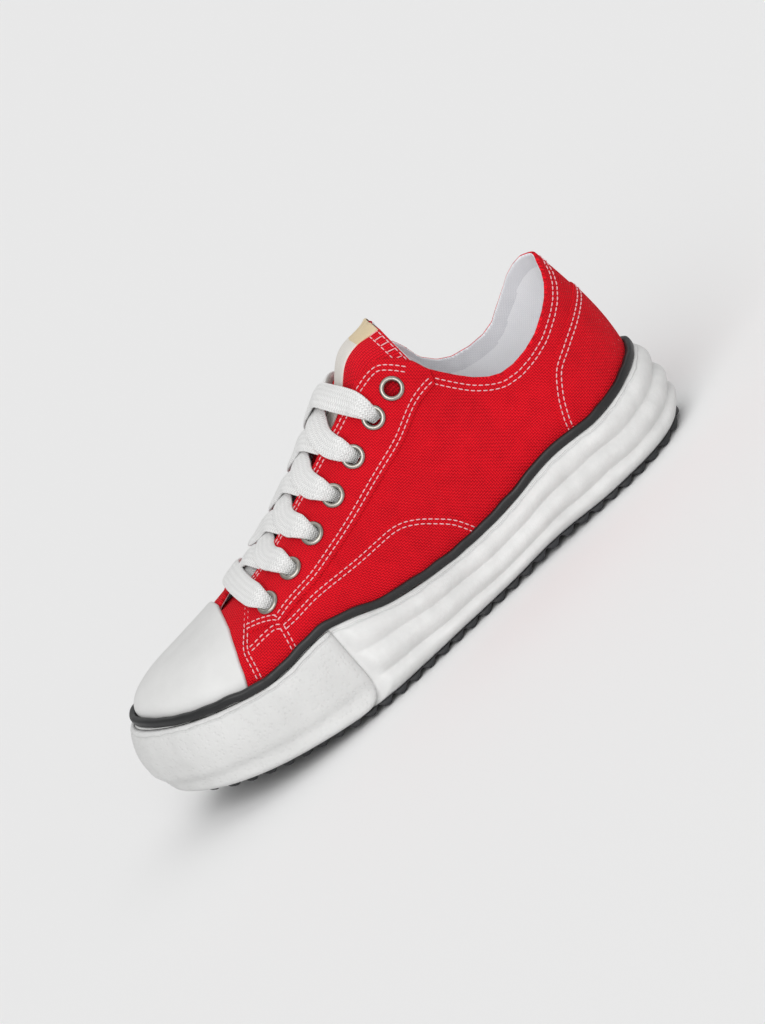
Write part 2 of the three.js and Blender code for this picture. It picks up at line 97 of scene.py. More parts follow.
# %% Rib table
SHIFT = 2.2
COLUMNS = (
    "x outer inner outer_rim inner_rim top_x spine half_top top_z rise belly shoulder drop "
    "bulge under crown"
).split()
RIBS = np.array([
    [-147.5, 0, 0, 42.7, 42.7, -142, 0, 0, 119, 26, 4.5, 3, 26, 6.2, 3.6, 1.0],
    [-138.5, 20.5, 20, 39.5, 40, -133.5, 0, 12, 122, 28, 3.5, 3, 26, 6.0, 3.0, 1.2],
    [-116, 33.5, 32, 36.3, 37, -112, 0, 20, 130, 30, 0.5, 7, 30, 6.0, 2.5, 1.5],
    [-86, 37, 34, 37.7, 37, -84, 0, 20, 138, 40, 0, 8, 30, 6.5, 2.5, 1.8],
    [-54, 39, 33, 33.2, 34, -54, 0, 0, 130, 52, 0, 33, 0, 6.5, 2.5, 1.8],
    [-22, 42.5, 35, 33.2, 34, -21, 0, 0, 114, 42, 0, 31, 0, 6.5, 2.5, 2.0],
    [10, 47, 41, 38, 39, 11, 0, 0, 96.5, 30, -0.5, 30, 0, 7.0, 3.0, 2.5],
    [42, 50, 47, 48.9, 47, 42, -1, 0, 82.5, 19, 0, 30, 0, 7.5, 3.0, 3.0],
    [74, 47.5, 48.5, 46.8, 47, 71, -3, 0, 75, 14, 0.5, 30, 0, 8.5, 4.0, 3.5],
    [102, 38, 44.5, 50.8, 51.5, 91, -5, 0, 71.5, 9, 1, 26, 0, 10.5, 5.0, 4.5],
    [123, 20, 31.5, 55.5, 57, 102, -6, 0, 70, 7, 1, 20, 0, 13.5, 7.5, 6.0],
    [134.5, -7, 7, 59, 59, 108, -6, 0, 69.5, 6, 1, 15, 0, 15.5, 9, 6.6],
])
TOE = len(RIBS) - 1
TURNS = 2 * TOE
COLUMN = {name: RIBS[:, k] for k, name in enumerate(COLUMNS)}


def both_sides(outer, inner):
    """One closed run of rows: the outer column heel to toe, then the inner column back."""
    return np.concatenate([outer, inner[TOE - 1:0:-1]])


CLOSED = {name: both_sides(COLUMN[name], COLUMN[name]) for name in COLUMNS}
CLOSED["y"] = both_sides(COLUMN["outer"], -COLUMN["inner"])
CLOSED["rim"] = both_sides(COLUMN["outer_rim"], COLUMN["inner_rim"])
CLOSED["top_y"] = both_sides(
    COLUMN["spine"] + COLUMN["half_top"], COLUMN["spine"] - COLUMN["half_top"]
)
print("last:", len(RIBS), "ribs,", round(float(np.ptp(CLOSED["x"])), 1), "mm along the rim")


# %% Small formulas
def catmull(a, b, c, d, t):
    """Catmull-Rom: a cubic that passes through b and c, with the slopes (c - a)/2 and (d - b)/2."""
    return 0.5 * (2 * b + (c - a) * t + (2 * a - 5 * b + 4 * c - d) * t**2
                  + (3 * b - a - 3 * c + d) * t**3)


def padded(knots):
    """A list of knots with one more at each end, straight on."""
    knots = np.asarray(knots, float)
    return np.vstack([2 * knots[0] - knots[1], knots, 2 * knots[-1] - knots[-2]])


def stack(x, y, z):
    """Three arrays as one array of points."""
    return np.stack(np.broadcast_arrays(x, y, z), axis=-1).astype(float)


def unit(v):
    """A vector over its own length."""
    return v / np.maximum(np.linalg.norm(v, axis=-1, keepdims=True), 1e-9)


def smooth(x, low, high):
    """0 below low, 1 above high, and the cubic 3t2 - 2t3 between."""
    t = np.clip((np.asarray(x, float) - low) / (high - low), 0, 1)
    return t * t * (3 - 2 * t)


def rounded(distance, radius):
    """A rounded edge: a quarter ellipse from 0 at the edge to 1 at radius."""
    return np.sqrt(1 - (1 - np.clip(distance / radius, 0, 1)) ** 2)


def signed_power(x, power):
    """|x| to a power, with x's sign: squares off the sines of a round section."""
    return np.sign(x) * np.abs(x) ** power


def run_length(points, axis=0):
    """Distance along each line of points, from 0."""
    steps = np.linalg.norm(np.diff(points, axis=axis), axis=-1)
    return np.concatenate([0 * np.take(steps, [0], axis), np.cumsum(steps, axis)], axis)


def around(count):
    """count even angles in a full turn."""
    return np.linspace(0, 2 * math.pi, count + 1)[:-1]


def turns_round(count):
    """A row of count even rib numbers, once round the shoe."""
    return np.linspace(0, TURNS, count + 1)[:-1][None]


# %% Places on the last
def rib_value(turn, name):
    """A column of the closed table at fractional rib numbers, by Catmull-Rom."""
    wrapped = np.mod(turn, TURNS)
    k = np.floor(wrapped).astype(int)
    near = [CLOSED[name][(k + step) % TURNS] for step in (-1, 0, 1, 2)]
    return catmull(*near, wrapped - k)


def nearest_rib(turn):
    """The rib number counted from the heel on either side."""
    wrapped = np.mod(turn, TURNS)
    return np.minimum(wrapped, TURNS - wrapped)


def rim_point(turn):
    return stack(rib_value(turn, "x"), rib_value(turn, "y"), rib_value(turn, "rim"))


def crest_point(turn):
    """Top of a rib: it may flare sideways from the spine, but never past it."""
    spine = np.interp(nearest_rib(turn), np.arange(TOE + 1), COLUMN["spine"])
    half = rib_value(turn, "top_y") - spine
    half = np.where(np.mod(turn, TURNS) <= TOE, np.maximum(half, 0), np.minimum(half, 0))
    return stack(rib_value(turn, "top_x"), spine + half, rib_value(turn, "top_z"))


def last_point(turn, height):
    """Cubic Bezier from rim to crest: its second point is the rim pushed out by belly and up by
    rise, and its third is the crest pushed out by shoulder and down by drop."""
    turn, height = np.broadcast_arrays(np.asarray(turn, float), np.asarray(height, float))
    foot, crest = rim_point(turn), crest_point(turn)
    out = unit((foot - crest) * [1, 1, 0])
    up = np.array([0, 0, 1.0])
    belly, rise, shoulder, drop = (
        rib_value(turn, name)[..., None] for name in ("belly", "rise", "shoulder", "drop"))
    low = foot + out * belly + up * rise
    high = crest + out * shoulder - up * drop
    h = height[..., None]
    return (1 - h)**3 * foot + 3 * (1 - h)**2 * h * low + 3 * (1 - h) * h**2 * high + h**3 * crest


def last_normal(turn, height):
    """Outward normal: the climb up the rib crossed with the step along the ribs; on the crest
    itself, the spine's run turned a quarter in the side view."""
    turn, height = np.broadcast_arrays(np.asarray(turn, float), np.asarray(height, float))
    along = last_point(turn + 0.02, height) - last_point(turn - 0.02, height)
    climb = last_point(turn, np.minimum(height + 0.02, 1)) - last_point(turn, np.maximum(height - 0.02, 0))
    rib = nearest_rib(turn)
    run = crest_point(rib) - crest_point(rib - 0.4)
    ridge = unit(stack(-run[..., 2], 0, run[..., 0]))
    blend = smooth(height, 0.985, 1.0)[..., None]
    return unit(unit(np.cross(climb, along)) * (1 - blend) + ridge * blend)


def offset_point(turn, height, distance):
    """A place on the last, moved out along its normal."""
    turn, height, distance = np.broadcast_arrays(turn, height, distance)
    return last_point(turn, height) + last_normal(turn, height) * distance[..., None]


def rim_out(turn):
    """Level direction out of the shoe: the rim's run turned a quarter."""
    along = rim_point(turn + 0.05) - rim_point(turn - 0.05)
    return unit(stack(-along[..., 1], along[..., 0], 0))


def rim_offset(turn, distance):
    turn, distance = np.broadcast_arrays(np.asarray(turn, float), np.asarray(distance, float))
    return rim_point(turn) + rim_out(turn) * distance[..., None]


def from_spine(rib, reach):
    """Rib number and height of a place counted from the spine: reach down the rib, positive to the
    outer side."""
    rib, reach = np.broadcast_arrays(rib, reach)
    return np.where(reach >= 0, rib, TURNS - rib), 1 - np.abs(reach)


def across(rib, reach, lift):
    rib, reach, lift = np.broadcast_arrays(rib, reach, lift)
    return offset_point(*from_spine(rib, reach), lift)


def across_normal(rib, reach):
    return last_normal(*from_spine(rib, reach))


print("crest at the toe:", crest_point(np.array(11.0)).round(1), "mm")

# %% [markdown]
# ## From arrays to meshes
# Every piece is a grid of points. A few lines of numpy list its four-cornered faces, and
# foreach_set copies the arrays into Blender in one go, which is far quicker than adding faces.

# %% Mesh helpers
def grid_faces(rows, columns, ring_rows=False, ring_columns=False):
    """Quads of a rows x columns grid; climb first and then along gives outward faces."""
    r = np.arange(rows if ring_rows else rows - 1)
    c = np.arange(columns if ring_columns else columns - 1)
    r, c = (a.ravel() for a in np.meshgrid(r, c, indexing="ij"))
    up, on = (r + 1) % rows, (c + 1) % columns
    return np.stack([r * columns + c, up * columns + c, up * columns + on, r * columns + on], 1)


def outward(points, faces):
    """Turns a closed mesh's faces over if its signed volume, the sum of corner triple products,
    is negative."""
    p = points.reshape(-1, 3)[faces]
    volume = np.einsum("ij,ij->", p[:, 0], np.cross(p[:, 1], p[:, 2]) + np.cross(p[:, 2], p[:, 3]))
    return faces[:, ::-1] if volume < 0 else faces


def tube_faces(rows, capped=False):
    """Outward faces of rows of rings. capped lays a strip of quads over each end ring, by pairing
    every point with the one across from it."""
    count = rows.shape[1]
    faces = [grid_faces(len(rows), count, ring_columns=True)]
    if capped:
        k = np.arange(count // 2 - 1)
        strip = np.stack([k, k + 1, count - 2 - k, count - 1 - k], 1)
        faces += [strip[:, ::-1], strip + (len(rows) - 1) * count]
    return outward(rows, np.concatenate(faces))


def copies(faces, count, size):
    """The faces of count equal shapes of size points each."""
    return ((np.arange(count) * size)[:, None, None] + faces[None]).reshape(-1, 4)


def join(parts):
    """Joins (points, faces) pairs by counting faces on from the points before them."""
    points, faces = zip(*parts)
    starts = np.cumsum([0] + [len(p) for p in points[:-1]])
    return np.concatenate(points), np.concatenate([f + start for f, start in zip(faces, starts)])


def make_piece(name, points, faces, materials, replaced, slot, face_slots=None, uv=None, weld=0.0):
    """Points in the last's millimetres become a mesh in metres, which rides the root and replaces
    these CAD nodes; slot is not used. uv is one pair for each point, in metres of real cloth."""
    points = np.asarray(points, float).reshape(-1, 3)
    place = (points + [SHIFT, 0, 0]) / 1000
    mesh = bpy.data.meshes.new(name)
    mesh.vertices.add(len(place))
    mesh.vertices.foreach_set("co", place.ravel())
    mesh.loops.add(faces.size)
    mesh.loops.foreach_set("vertex_index", faces.ravel().astype(np.int32))
    mesh.polygons.add(len(faces))
    mesh.polygons.foreach_set("loop_start", np.arange(0, faces.size, 4, dtype=np.int32))
    mesh.polygons.foreach_set("use_smooth", np.ones(len(faces), bool))
    for material in materials:
        mesh.materials.append(material)
    if face_slots is not None:
        mesh.polygons.foreach_set("material_index", np.asarray(face_slots, np.int32))
    if uv is not None:
        layer = mesh.uv_layers.new(name="cloth")
        layer.data.foreach_set("uv", np.asarray(uv, float).reshape(-1, 2)[faces.ravel()].ravel())
    mesh.update(calc_edges=True)
    mesh.validate()
    if weld:
        work = bmesh.new()
        work.from_mesh(mesh)
        bmesh.ops.remove_doubles(work, verts=work.verts, dist=weld)
        bmesh.ops.dissolve_degenerate(work, edges=work.edges, dist=1e-7)
        work.to_mesh(mesh)
        work.free()
    obj = link_object(name, mesh)
    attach(obj, "root")
    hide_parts(*replaced)
    print(f"{name}: {len(mesh.polygons)} faces")


# %% [markdown]
# ## Finishes
# Each material starts from the real one. One helper adds any node. Cloth reads its own UV map,
# whose units are metres of cloth, so a thread is as wide as a real one; rubber and metal read the
# object's own coordinates.

# %% Material helpers
def hex_linear(code):
    """sRGB hex to linear: each channel c is c/12.92 below 0.04045, else ((c+0.055)/1.055)^2.4."""
    c = np.array([int(code[k:k + 2], 16) for k in (1, 3, 5)]) / 255
    return (*np.where(c <= 0.04045, c / 12.92, ((c + 0.055) / 1.055) ** 2.4), 1.0)


def fill_sockets(node, sockets):
    """A socket takes a value, a hex colour, or another node's output to link."""
    for name, value in sockets.items():
        if isinstance(value, bpy.types.NodeSocket):
            node.id_data.links.new(value, node.inputs[name])
        else:
            node.inputs[name].default_value = hex_linear(value) if isinstance(value, str) else value


def add_node(material, kind, sockets=None, output=0, **settings):
    """Adds one node with its settings and sockets, and gives back one of its outputs."""
    node = material.node_tree.nodes.new("ShaderNode" + kind)
    for name, value in settings.items():
        setattr(node, name, value)
    fill_sockets(node, sockets or {})
    return node.outputs[output]


def new_material(name, **shader):
    """A material with one Principled shader, whose constant sockets are set here."""
    material = bpy.data.materials.new(name)
    material.use_nodes = True
    principled = material.node_tree.nodes["Principled BSDF"]
    fill_sockets(principled, {socket.replace("_", " "): value for socket, value in shader.items()})
    return material, principled


# %% [markdown]
# ### Canvas
# Cotton duck is a plain weave of yarns about a millimetre across. Real threads would need millions
# of faces, so the weave is a height pattern: one wave runs across the warp and one across the
# weft, and a checker says which yarn lies on top. The crowns catch more light than the gaps, and a
# slow noise gives the dye its unevenness.

# %% Woven cloth
WAVE = 0.314  # a wave texture's bands repeat every 0.314 / scale


def woven_cloth(name, crown, gap, pitch, depth, roughness, sheen, tint="#ffffff"):
    """Colour runs from gap to crown with it; depth is the bump in metres."""
    material, shader = new_material(name, Roughness=roughness, Sheen_Weight=sheen, Sheen_Roughness=0.5,
                                    Sheen_Tint=tint, Specular_IOR_Level=0.12)
    cloth = add_node(material, "UVMap", uv_map="cloth")
    place = add_node(material, "TexCoord", output="Object")
    wander = add_node(material, "TexNoise", {"Vector": cloth, "Scale": 140.0, "Detail": 2.0})
    warp, weft = (add_node(
        material, "TexWave", {"Vector": cloth, "Scale": WAVE / pitch, "Distortion": 0.6, "Detail": 1.0,
                              "Detail Scale": 0.4}, output="Fac", bands_direction=axis) for axis in "XY")
    top = add_node(material, "TexChecker", {"Vector": cloth, "Scale": 1 / pitch}, output="Fac")
    yarn = add_node(material, "Mix", {0: top, 2: warp, 3: weft}, data_type="FLOAT")
    thick = add_node(material, "Math", {0: wander, 1: 0.45, 2: yarn}, operation="MULTIPLY_ADD")
    level = add_node(material, "MapRange", {"Value": thick, "From Min": 0.15, "From Max": 1.15})
    threads = add_node(material, "Mix", {0: level, 6: gap, 7: crown}, output=2, data_type="RGBA")
    fade = add_node(material, "TexNoise", {"Vector": place, "Scale": 22.0, "Detail": 3.0})
    shade = add_node(material, "MapRange", {"Value": fade, "From Min": 0.3, "From Max": 0.7,
                                            "To Min": 0.93, "To Max": 1.05})
    dye = add_node(material, "Mix", {0: 1.0, 6: threads, 7: shade}, output=2, data_type="RGBA",
                   blend_type="MULTIPLY")
    bump = add_node(material, "Bump", {"Height": thick, "Strength": 0.9, "Distance": depth})
    fill_sockets(shader, {"Base Color": dye, "Normal": bump})
    return material


# Red cotton duck, dyed in the piece and heavily brushed: matt, with a faint pinkish bloom. The
# tongue is the same duck, a shade brighter.
DUCK = 0.88, 0.08, "#ff6a70"
red_canvas = woven_cloth(
    "red cotton duck, woven and dyed", "#f21526", "#a20716", 0.00105, 0.0004, *DUCK)
tongue_canvas = woven_cloth(
    "bright red cotton duck, woven and dyed", "#f61a2c", "#a00616", 0.00105, 0.00038, *DUCK)
# White cotton drill: the lining, smooth and close, so its yarns are finer.
lining_drill = woven_cloth(
    "white cotton drill, woven lining", "#fbfbfd", "#eeeef3", 0.0007, 0.0001, 0.9, 0.2)
# The binding tape round the collar's inside is a denser, greyer twill.
collar_tape = woven_cloth(
    "grey-white cotton twill tape, woven", "#f4f4f7", "#d2d2d8", 0.0006, 0.0001, 0.9, 0.15)
# The footbed's cover is coarser and soft; the label's tapes are fine and flat.
insole_cloth = woven_cloth(
    "white cotton insole cloth, bonded to foam", "#e4e3e2", "#c9c8c8", 0.0011, 0.00015, 0.92, 0.2)
label_tan = woven_cloth(
    "tan cotton label tape, woven", "#e2cfae", "#c9b794", 0.0005, 0.00008, 0.9, 0.1)
label_white = woven_cloth(
    "white cotton label tape, woven", "#e6e2dc", "#cfcac2", 0.0005, 0.00008, 0.9, 0.1)
print("cloths:", [material.name for material in bpy.data.materials])

# %% [markdown]
# ### Thread, rubber and metal
# Sewing thread is a tight twist with a dull shine. The sole is poured and hand-finished rubber:
# chalky white with shallow dents. Eyelets are nickel-plated brass, softened by tumbling.

# %% Thread, rubber and nickel
def thread_finish(name, colour, shadow):
    """Twisted thread: fine noise between two tones, and a soft shine."""
    material, shader = new_material(name, Roughness=0.6, Sheen_Weight=0.3)
    place = add_node(material, "TexCoord", output="Object")
    fibre = add_node(material, "TexNoise", {"Vector": place, "Scale": 1800.0, "Detail": 2.0})
    tone = add_node(material, "Mix", {0: fibre, 6: shadow, 7: colour}, output=2, data_type="RGBA")
    bump = add_node(material, "Bump", {"Height": fibre, "Strength": 0.4, "Distance": 0.0001})
    fill_sockets(shader, {"Base Color": tone, "Normal": bump})
    return material


def rubber_finish(name, colour, stain, roughness, dent, grain, dimple=0.0):
    """Moulded rubber: slow noise stains the colour and varies the gloss; dents of about 6 mm and a
    grain of about 0.5 mm make the bump, with optional dimples 3 mm apart."""
    material, shader = new_material(name, IOR=1.5)
    place = add_node(material, "TexCoord", output="Object")
    slow = add_node(material, "TexNoise", {"Vector": place, "Scale": 38.0, "Detail": 5.0, "Roughness": 0.6})
    dents = add_node(material, "TexNoise", {"Vector": place, "Scale": 120.0, "Detail": 2.0})
    fine = add_node(material, "TexNoise", {"Vector": place, "Scale": 1500.0, "Detail": 2.0})
    level = add_node(material, "MapRange", {"Value": slow, "From Min": 0.35, "From Max": 0.7})
    tone = add_node(material, "Mix", {0: level, 6: colour, 7: stain}, output=2, data_type="RGBA")
    gloss = add_node(material, "MapRange", {"Value": slow, "From Min": 0.3, "From Max": 0.7,
                                            "To Min": roughness - 0.06, "To Max": roughness + 0.06})
    bump = add_node(material, "Bump", {"Height": dents, "Strength": 0.8, "Distance": dent})
    bump = add_node(material, "Bump", {"Height": fine, "Strength": 0.6, "Distance": grain, "Normal": bump})
    if dimple:
        cells = add_node(material, "TexVoronoi", {"Vector": place, "Scale": 480.0, "Randomness": 0.7},
                         feature="F1")
        cup = add_node(material, "MapRange", {"Value": cells, "From Min": 0.1, "From Max": 0.42},
                       interpolation_type="SMOOTHSTEP")
        bump = add_node(material, "Bump", {"Height": cup, "Strength": 0.7, "Distance": dimple,
                                           "Normal": bump})
    fill_sockets(shader, {"Base Color": tone, "Roughness": gloss, "Normal": bump})
    return material


def nickel_finish():
    """A warm grey mirror gone slightly soft, with darker tarnish in patches."""
    material, shader = new_material("nickel-plated brass, stamped and tumbled", Metallic=1.0)
    place = add_node(material, "TexCoord", output="Object")
    tarnish = add_node(material, "TexNoise", {"Vector": place, "Scale": 500.0, "Detail": 3.0})
    tone = add_node(material, "Mix", {0: tarnish, 6: "#b4b0a8", 7: "#8c8880"}, output=2, data_type="RGBA")
    gloss = add_node(material, "MapRange", {"Value": tarnish, "To Min": 0.2, "To Max": 0.42})
    fill_sockets(shader, {"Base Color": tone, "Roughness": gloss})
    return material


white_thread = thread_finish("pinkish white cotton thread, twisted", "#eec4c7", "#d4949b")
# Poured by hand, the wall is dented and matt; the bumper is moulded, the cap rolled smooth.
white_rubber = rubber_finish(
    "white natural rubber, poured and hand-finished", "#d9d9d8", "#cbcbca", 0.55, 0.0009, 0.00012)
bumper_rubber = rubber_finish(
    "white natural rubber, moulded with a dimpled face", "#d0d0cf", "#c8c8c7", 0.55, 0.0005, 0.0001,
    0.00022)
cap_rubber = rubber_finish(
    "white rubber toe cap, calendered smooth", "#d6d6d5", "#cececd", 0.5, 0.0002, 0.00004)
# Carbon black makes both of these nearly black; the extruded stripe is the glossier.
stripe_rubber = rubber_finish(
    "black rubber stripe, extruded", "#0e0f10", "#18191b", 0.45, 0.0003, 0.00005)
tread_rubber = rubber_finish(
    "black carbon rubber, moulded tread", "#1d1e20", "#28292c", 0.62, 0.0003, 0.00012)
nickel = nickel_finish()


# %% Braided lace
def braided_cotton():
    """Flat tubular braid: yarns cross in a chevron. A diagonal wave, mirrored every 1.1 mm of the
    lace's width by a ping-pong, makes the height; u runs along the lace."""
    material, shader = new_material("white cotton, braided flat", Roughness=0.9, Sheen_Weight=0.35,
                                    Sheen_Roughness=0.4, Specular_IOR_Level=0.2)
    cloth = add_node(material, "UVMap", uv_map="cloth")
    place = add_node(material, "TexCoord", output="Object")
    along, over = (add_node(material, "SeparateXYZ", {0: cloth}, output=axis) for axis in "XY")
    side = add_node(material, "Math", {0: over, 1: 0.0011}, operation="PINGPONG")
    slant = add_node(material, "CombineXYZ", {"X": along, "Y": side, "Z": 0.0})
    turned = add_node(material, "Mapping", {"Vector": slant, "Rotation": (0, 0, math.radians(38))})
    yarn = add_node(material, "TexWave", {"Vector": turned, "Scale": WAVE / 0.0010, "Distortion": 2.2,
                                          "Detail": 1.0, "Detail Scale": 0.5},
                    output="Fac", bands_direction="X")
    rib = add_node(material, "TexWave", {"Vector": cloth, "Scale": WAVE / 0.0022, "Distortion": 0.3,
                                         "Detail": 1.0}, output="Fac", bands_direction="Y")
    mixed = add_node(material, "Math", {0: rib, 1: 0.35, 2: yarn}, operation="MULTIPLY_ADD")
    fuzz = add_node(material, "TexNoise", {"Vector": place, "Scale": 900.0, "Detail": 3.0})
    level = add_node(material, "MapRange", {"Value": mixed, "From Min": -0.5, "From Max": 1.3})
    # The colour follows the braid's height: darker grey in its valleys and lighter on its crowns, painted
    # shade.
    tone = add_node(material, "Mix", {0: level, 6: "#c6c6c5", 7: "#eeeeed"}, output=2, data_type="RGBA")
    bump = add_node(material, "Bump", {"Height": mixed, "Strength": 0.8, "Distance": 0.0004})
    bump = add_node(material, "Bump", {"Height": fuzz, "Strength": 0.7, "Distance": 0.0004, "Normal": bump})
    fill_sockets(shader, {"Base Color": tone, "Normal": bump})
    return material


lace_cotton = braided_cotton()
print(len(bpy.data.materials), "materials")

# %% [markdown]
# ## Where the upper is cut
# The canvas stops at the throat, which is narrow from above, and at the collar, which is a curve
# from the side. Each rib's edge is found by climbing until the point is inside the opening, and
# then halving the step.

# %% Openings
THROAT = np.array([
    (-75, 24), (-43, 21), (-25, 18), (-5, 16), (16, 13.5), (50, 13), (66, 10.5), (74, 6), (77, 1),
])
EYESTAY_END = [(-40, 124), (-48.5, 120.3), (-53, 120.6), (-58, 118.8), (-63.5, 114.4), (-68, 109)]
OUTER_COLLAR = np.array(EYESTAY_END + [
    (-70.5, 102.5), (-74, 97.5), (-79, 91), (-84, 85.3), (-89.5, 80.8), (-95, 78.2), (-102, 77.6), (-110, 78.5),
    (-119, 80.8), (-128.5, 85.3), (-134, 88.6), (-138.5, 92.5), (-141.3, 96.5), (-142.8, 100.5), (-145, 103.5),
    (-170, 103.5),
])[::-1]
INNER_COLLAR = np.array(EYESTAY_END + [
    (-70.5, 102.5), (-72.5, 94), (-78, 87.5), (-84, 84), (-93.5, 82), (-102, 82), (-109, 84), (-113, 87),
    (-118, 90.5), (-124, 95), (-128.5, 98.8), (-134, 102), (-139, 103.8), (-145, 103.5), (-170, 103.5),
])[::-1]


def is_open(p):
    """True inside the throat seen from above, or over the collar line seen from the side."""
    x, y, z = p[..., 0], p[..., 1], p[..., 2]
    throat = (x < THROAT[-1, 0]) & (x > THROAT[0, 0]) & (np.abs(y) < np.interp(x, *THROAT.T))
    line = np.where(y > 0, np.interp(x, *OUTER_COLLAR.T), np.interp(x, *INNER_COLLAR.T))
    return throat | ((x < EYESTAY_END[0][0]) & (z > line))


def edge_height(turn):
    """Height of the canvas edge on each rib: first open sample of 500, then 20 halvings."""
    levels = np.linspace(0, 1, 501)
    opened = is_open(last_point(turn[:, None], levels[None]))
    found = opened.any(1)
    first = np.where(found, opened.argmax(1), 500)
    low, high = levels[np.maximum(first - 1, 0)], levels[first]
    for _ in range(20):
        middle = (low + high) / 2
        inside = is_open(last_point(turn, middle))
        low, high = np.where(inside, low, middle), np.where(inside, middle, high)
    return np.where(found, low, 1.0)


EDGE_TURNS = np.linspace(0, TURNS, 1321)
EDGE_HEIGHTS = edge_height(EDGE_TURNS)


def edge_at(turn):
    """The edge, read from a fine table made once."""
    return np.interp(np.mod(turn, TURNS), EDGE_TURNS, EDGE_HEIGHTS)


# %% Lengths over the cloth
# For the weave: lengths along the ribs at mid height, and up each rib.
ROUND_STEPS, RISE_STEPS = 440, 80
LENGTH_TURNS = np.linspace(0, TURNS, ROUND_STEPS + 1)
surface = last_point(LENGTH_TURNS[:, None], np.linspace(0, 1, RISE_STEPS + 1)[None])
ROUND_LENGTH = run_length(surface[:, 32])
RISE_LENGTH = run_length(surface, 1)


def cloth_uv(turn, height):
    """Metres of cloth: distance along the ribs, and distance up the rib, from the two tables by
    straight interpolation between ribs and between levels."""
    turn, height = np.broadcast_arrays(np.mod(turn, TURNS), height)
    a = np.clip(turn / TURNS * ROUND_STEPS, 0, ROUND_STEPS - 0.001)
    b = np.clip(height * RISE_STEPS, 0, RISE_STEPS - 0.001)
    i, j = a.astype(int), b.astype(int)
    s, t = a - i, b - j
    rise = ((1 - s) * (1 - t) * RISE_LENGTH[i, j] + s * (1 - t) * RISE_LENGTH[i + 1, j]
            + (1 - s) * t * RISE_LENGTH[i, j + 1] + s * t * RISE_LENGTH[i + 1, j + 1])
    return np.stack([np.interp(turn, LENGTH_TURNS, ROUND_LENGTH), rise], -1) / 1000


print("edge height at the ankle", round(float(edge_at(2.7)), 3))
print("length round at mid height", round(float(ROUND_LENGTH[-1])), "mm")

# %% [markdown]
# ## The upper
# The canvas is one shell from the rim to its cut edge, with soft troughs where a shoe bends. They
# are listed as lines with a width and a depth, because cloth that is glued to a sole
# creases in set places.

# %% Creases
# Each trough: from (rib, height) to (rib, height), half width in mm, depth in mm. Minus is a ridge.
TROUGHS = [
    ((5.3, 0.36), (4.75, 0.16), 6.0, 0.7),
    ((4.35, 0.34), (3.9, 0.10), 8.0, 0.8),
    ((3.15, 0.36), (3.35, 0.12), 7.0, 0.7),
    ((6.1, 0.30), (5.6, 0.12), 6.0, 0.5),
    ((7.0, 0.24), (6.8, 0.08), 6.0, 0.45),
    ((2.9, 0.33), (2.6, 0.20), 6.0, 0.5),
    ((4.85, 0.30), (4.3, 0.12), 6.0, -0.5),
    ((3.65, 0.36), (3.55, 0.12), 7.0, -0.5),
]


def crease(turn, height):
    """Sum of the troughs: depth x exp(-(distance / half width)2), with the distance in millimetres
    of cloth to the trough's line. Both sides of the shoe have them."""
    turn, height = np.broadcast_arrays(turn, height)
    here = cloth_uv(nearest_rib(turn), height) * 1000
    total = np.zeros(turn.shape)
    for start, end, width, depth in TROUGHS:
        a, b = (cloth_uv(*np.array(place)) * 1000 for place in (start, end))
        run = b - a
        t = np.clip(((here - a) @ run) / (run @ run), 0, 1)
        gap = np.linalg.norm(here - a - t[..., None] * run, axis=-1)
        total -= depth * np.exp(-(gap / width) ** 2)
    return total * smooth(height, 0.0, 0.1)


def skin(turn, height, lift):
    """A place on the canvas: the last, the creases, and lift above them."""
    turn, height, lift = np.broadcast_arrays(np.asarray(turn, float), height, lift)
    return offset_point(turn, height, lift + crease(turn, height))


print(len(TROUGHS), "troughs and ridges on each side")

# %% [markdown]
# The shell is a grid with a column for each of 660 rib positions and rows that always run from the
# rim to the edge, so the edge stays smooth however it curves. Three more rows tuck it behind the
# stripe. The lining is a second grid 2.2 mm inside it, joined to it by a rolled lip.

# %% Eyelet places and holes
EYELETS = np.array([
    (7.41, 0.505), (6.84, 0.477), (6.27, 0.442), (5.68, 0.427), (5.1, 0.427), (4.52, 0.437),
    (4.06, 0.442),
])
CANVAS_WALL = 2.2
HOLE_RADIUS = 4.6
HOLE_RIBS = np.tile(EYELETS[:, 0], 2)
HOLE_REACHES = np.concatenate([EYELETS[:, 1], -EYELETS[:, 1]])
HOLE_PLACES = across(HOLE_RIBS, HOLE_REACHES, 0.0)
HOLE_AXES = across_normal(HOLE_RIBS, HOLE_REACHES)


def punch(points, faces):
    """Leaves out the faces whose middle is nearer than HOLE_RADIUS to an eyelet's axis."""
    reach = points.reshape(-1, 3)[faces].mean(1)[:, None] - HOLE_PLACES[None]
    along = np.einsum("fhk,hk->fh", reach, HOLE_AXES)
    gap = np.linalg.norm(reach - along[..., None] * HOLE_AXES[None], axis=2)
    return ~((gap < HOLE_RADIUS) & (np.abs(along) < 8)).any(1)


print(len(HOLE_PLACES), "holes of", 2 * HOLE_RADIUS, "mm")

# %% Canvas shell
SHELL_COLUMNS = 660
SHELL_TURNS = turns_round(SHELL_COLUMNS)
SHELL_EDGE = edge_at(SHELL_TURNS)
FLOOR = np.array([(-160, 27), (-100, 25.5), (-40, 24), (20, 21.5), (70, 22), (110, 28), (145, 37)])


def floor_height(x):
    """Height under the insole, by straight lines between the table's rows."""
    return np.interp(x, *FLOOR.T)


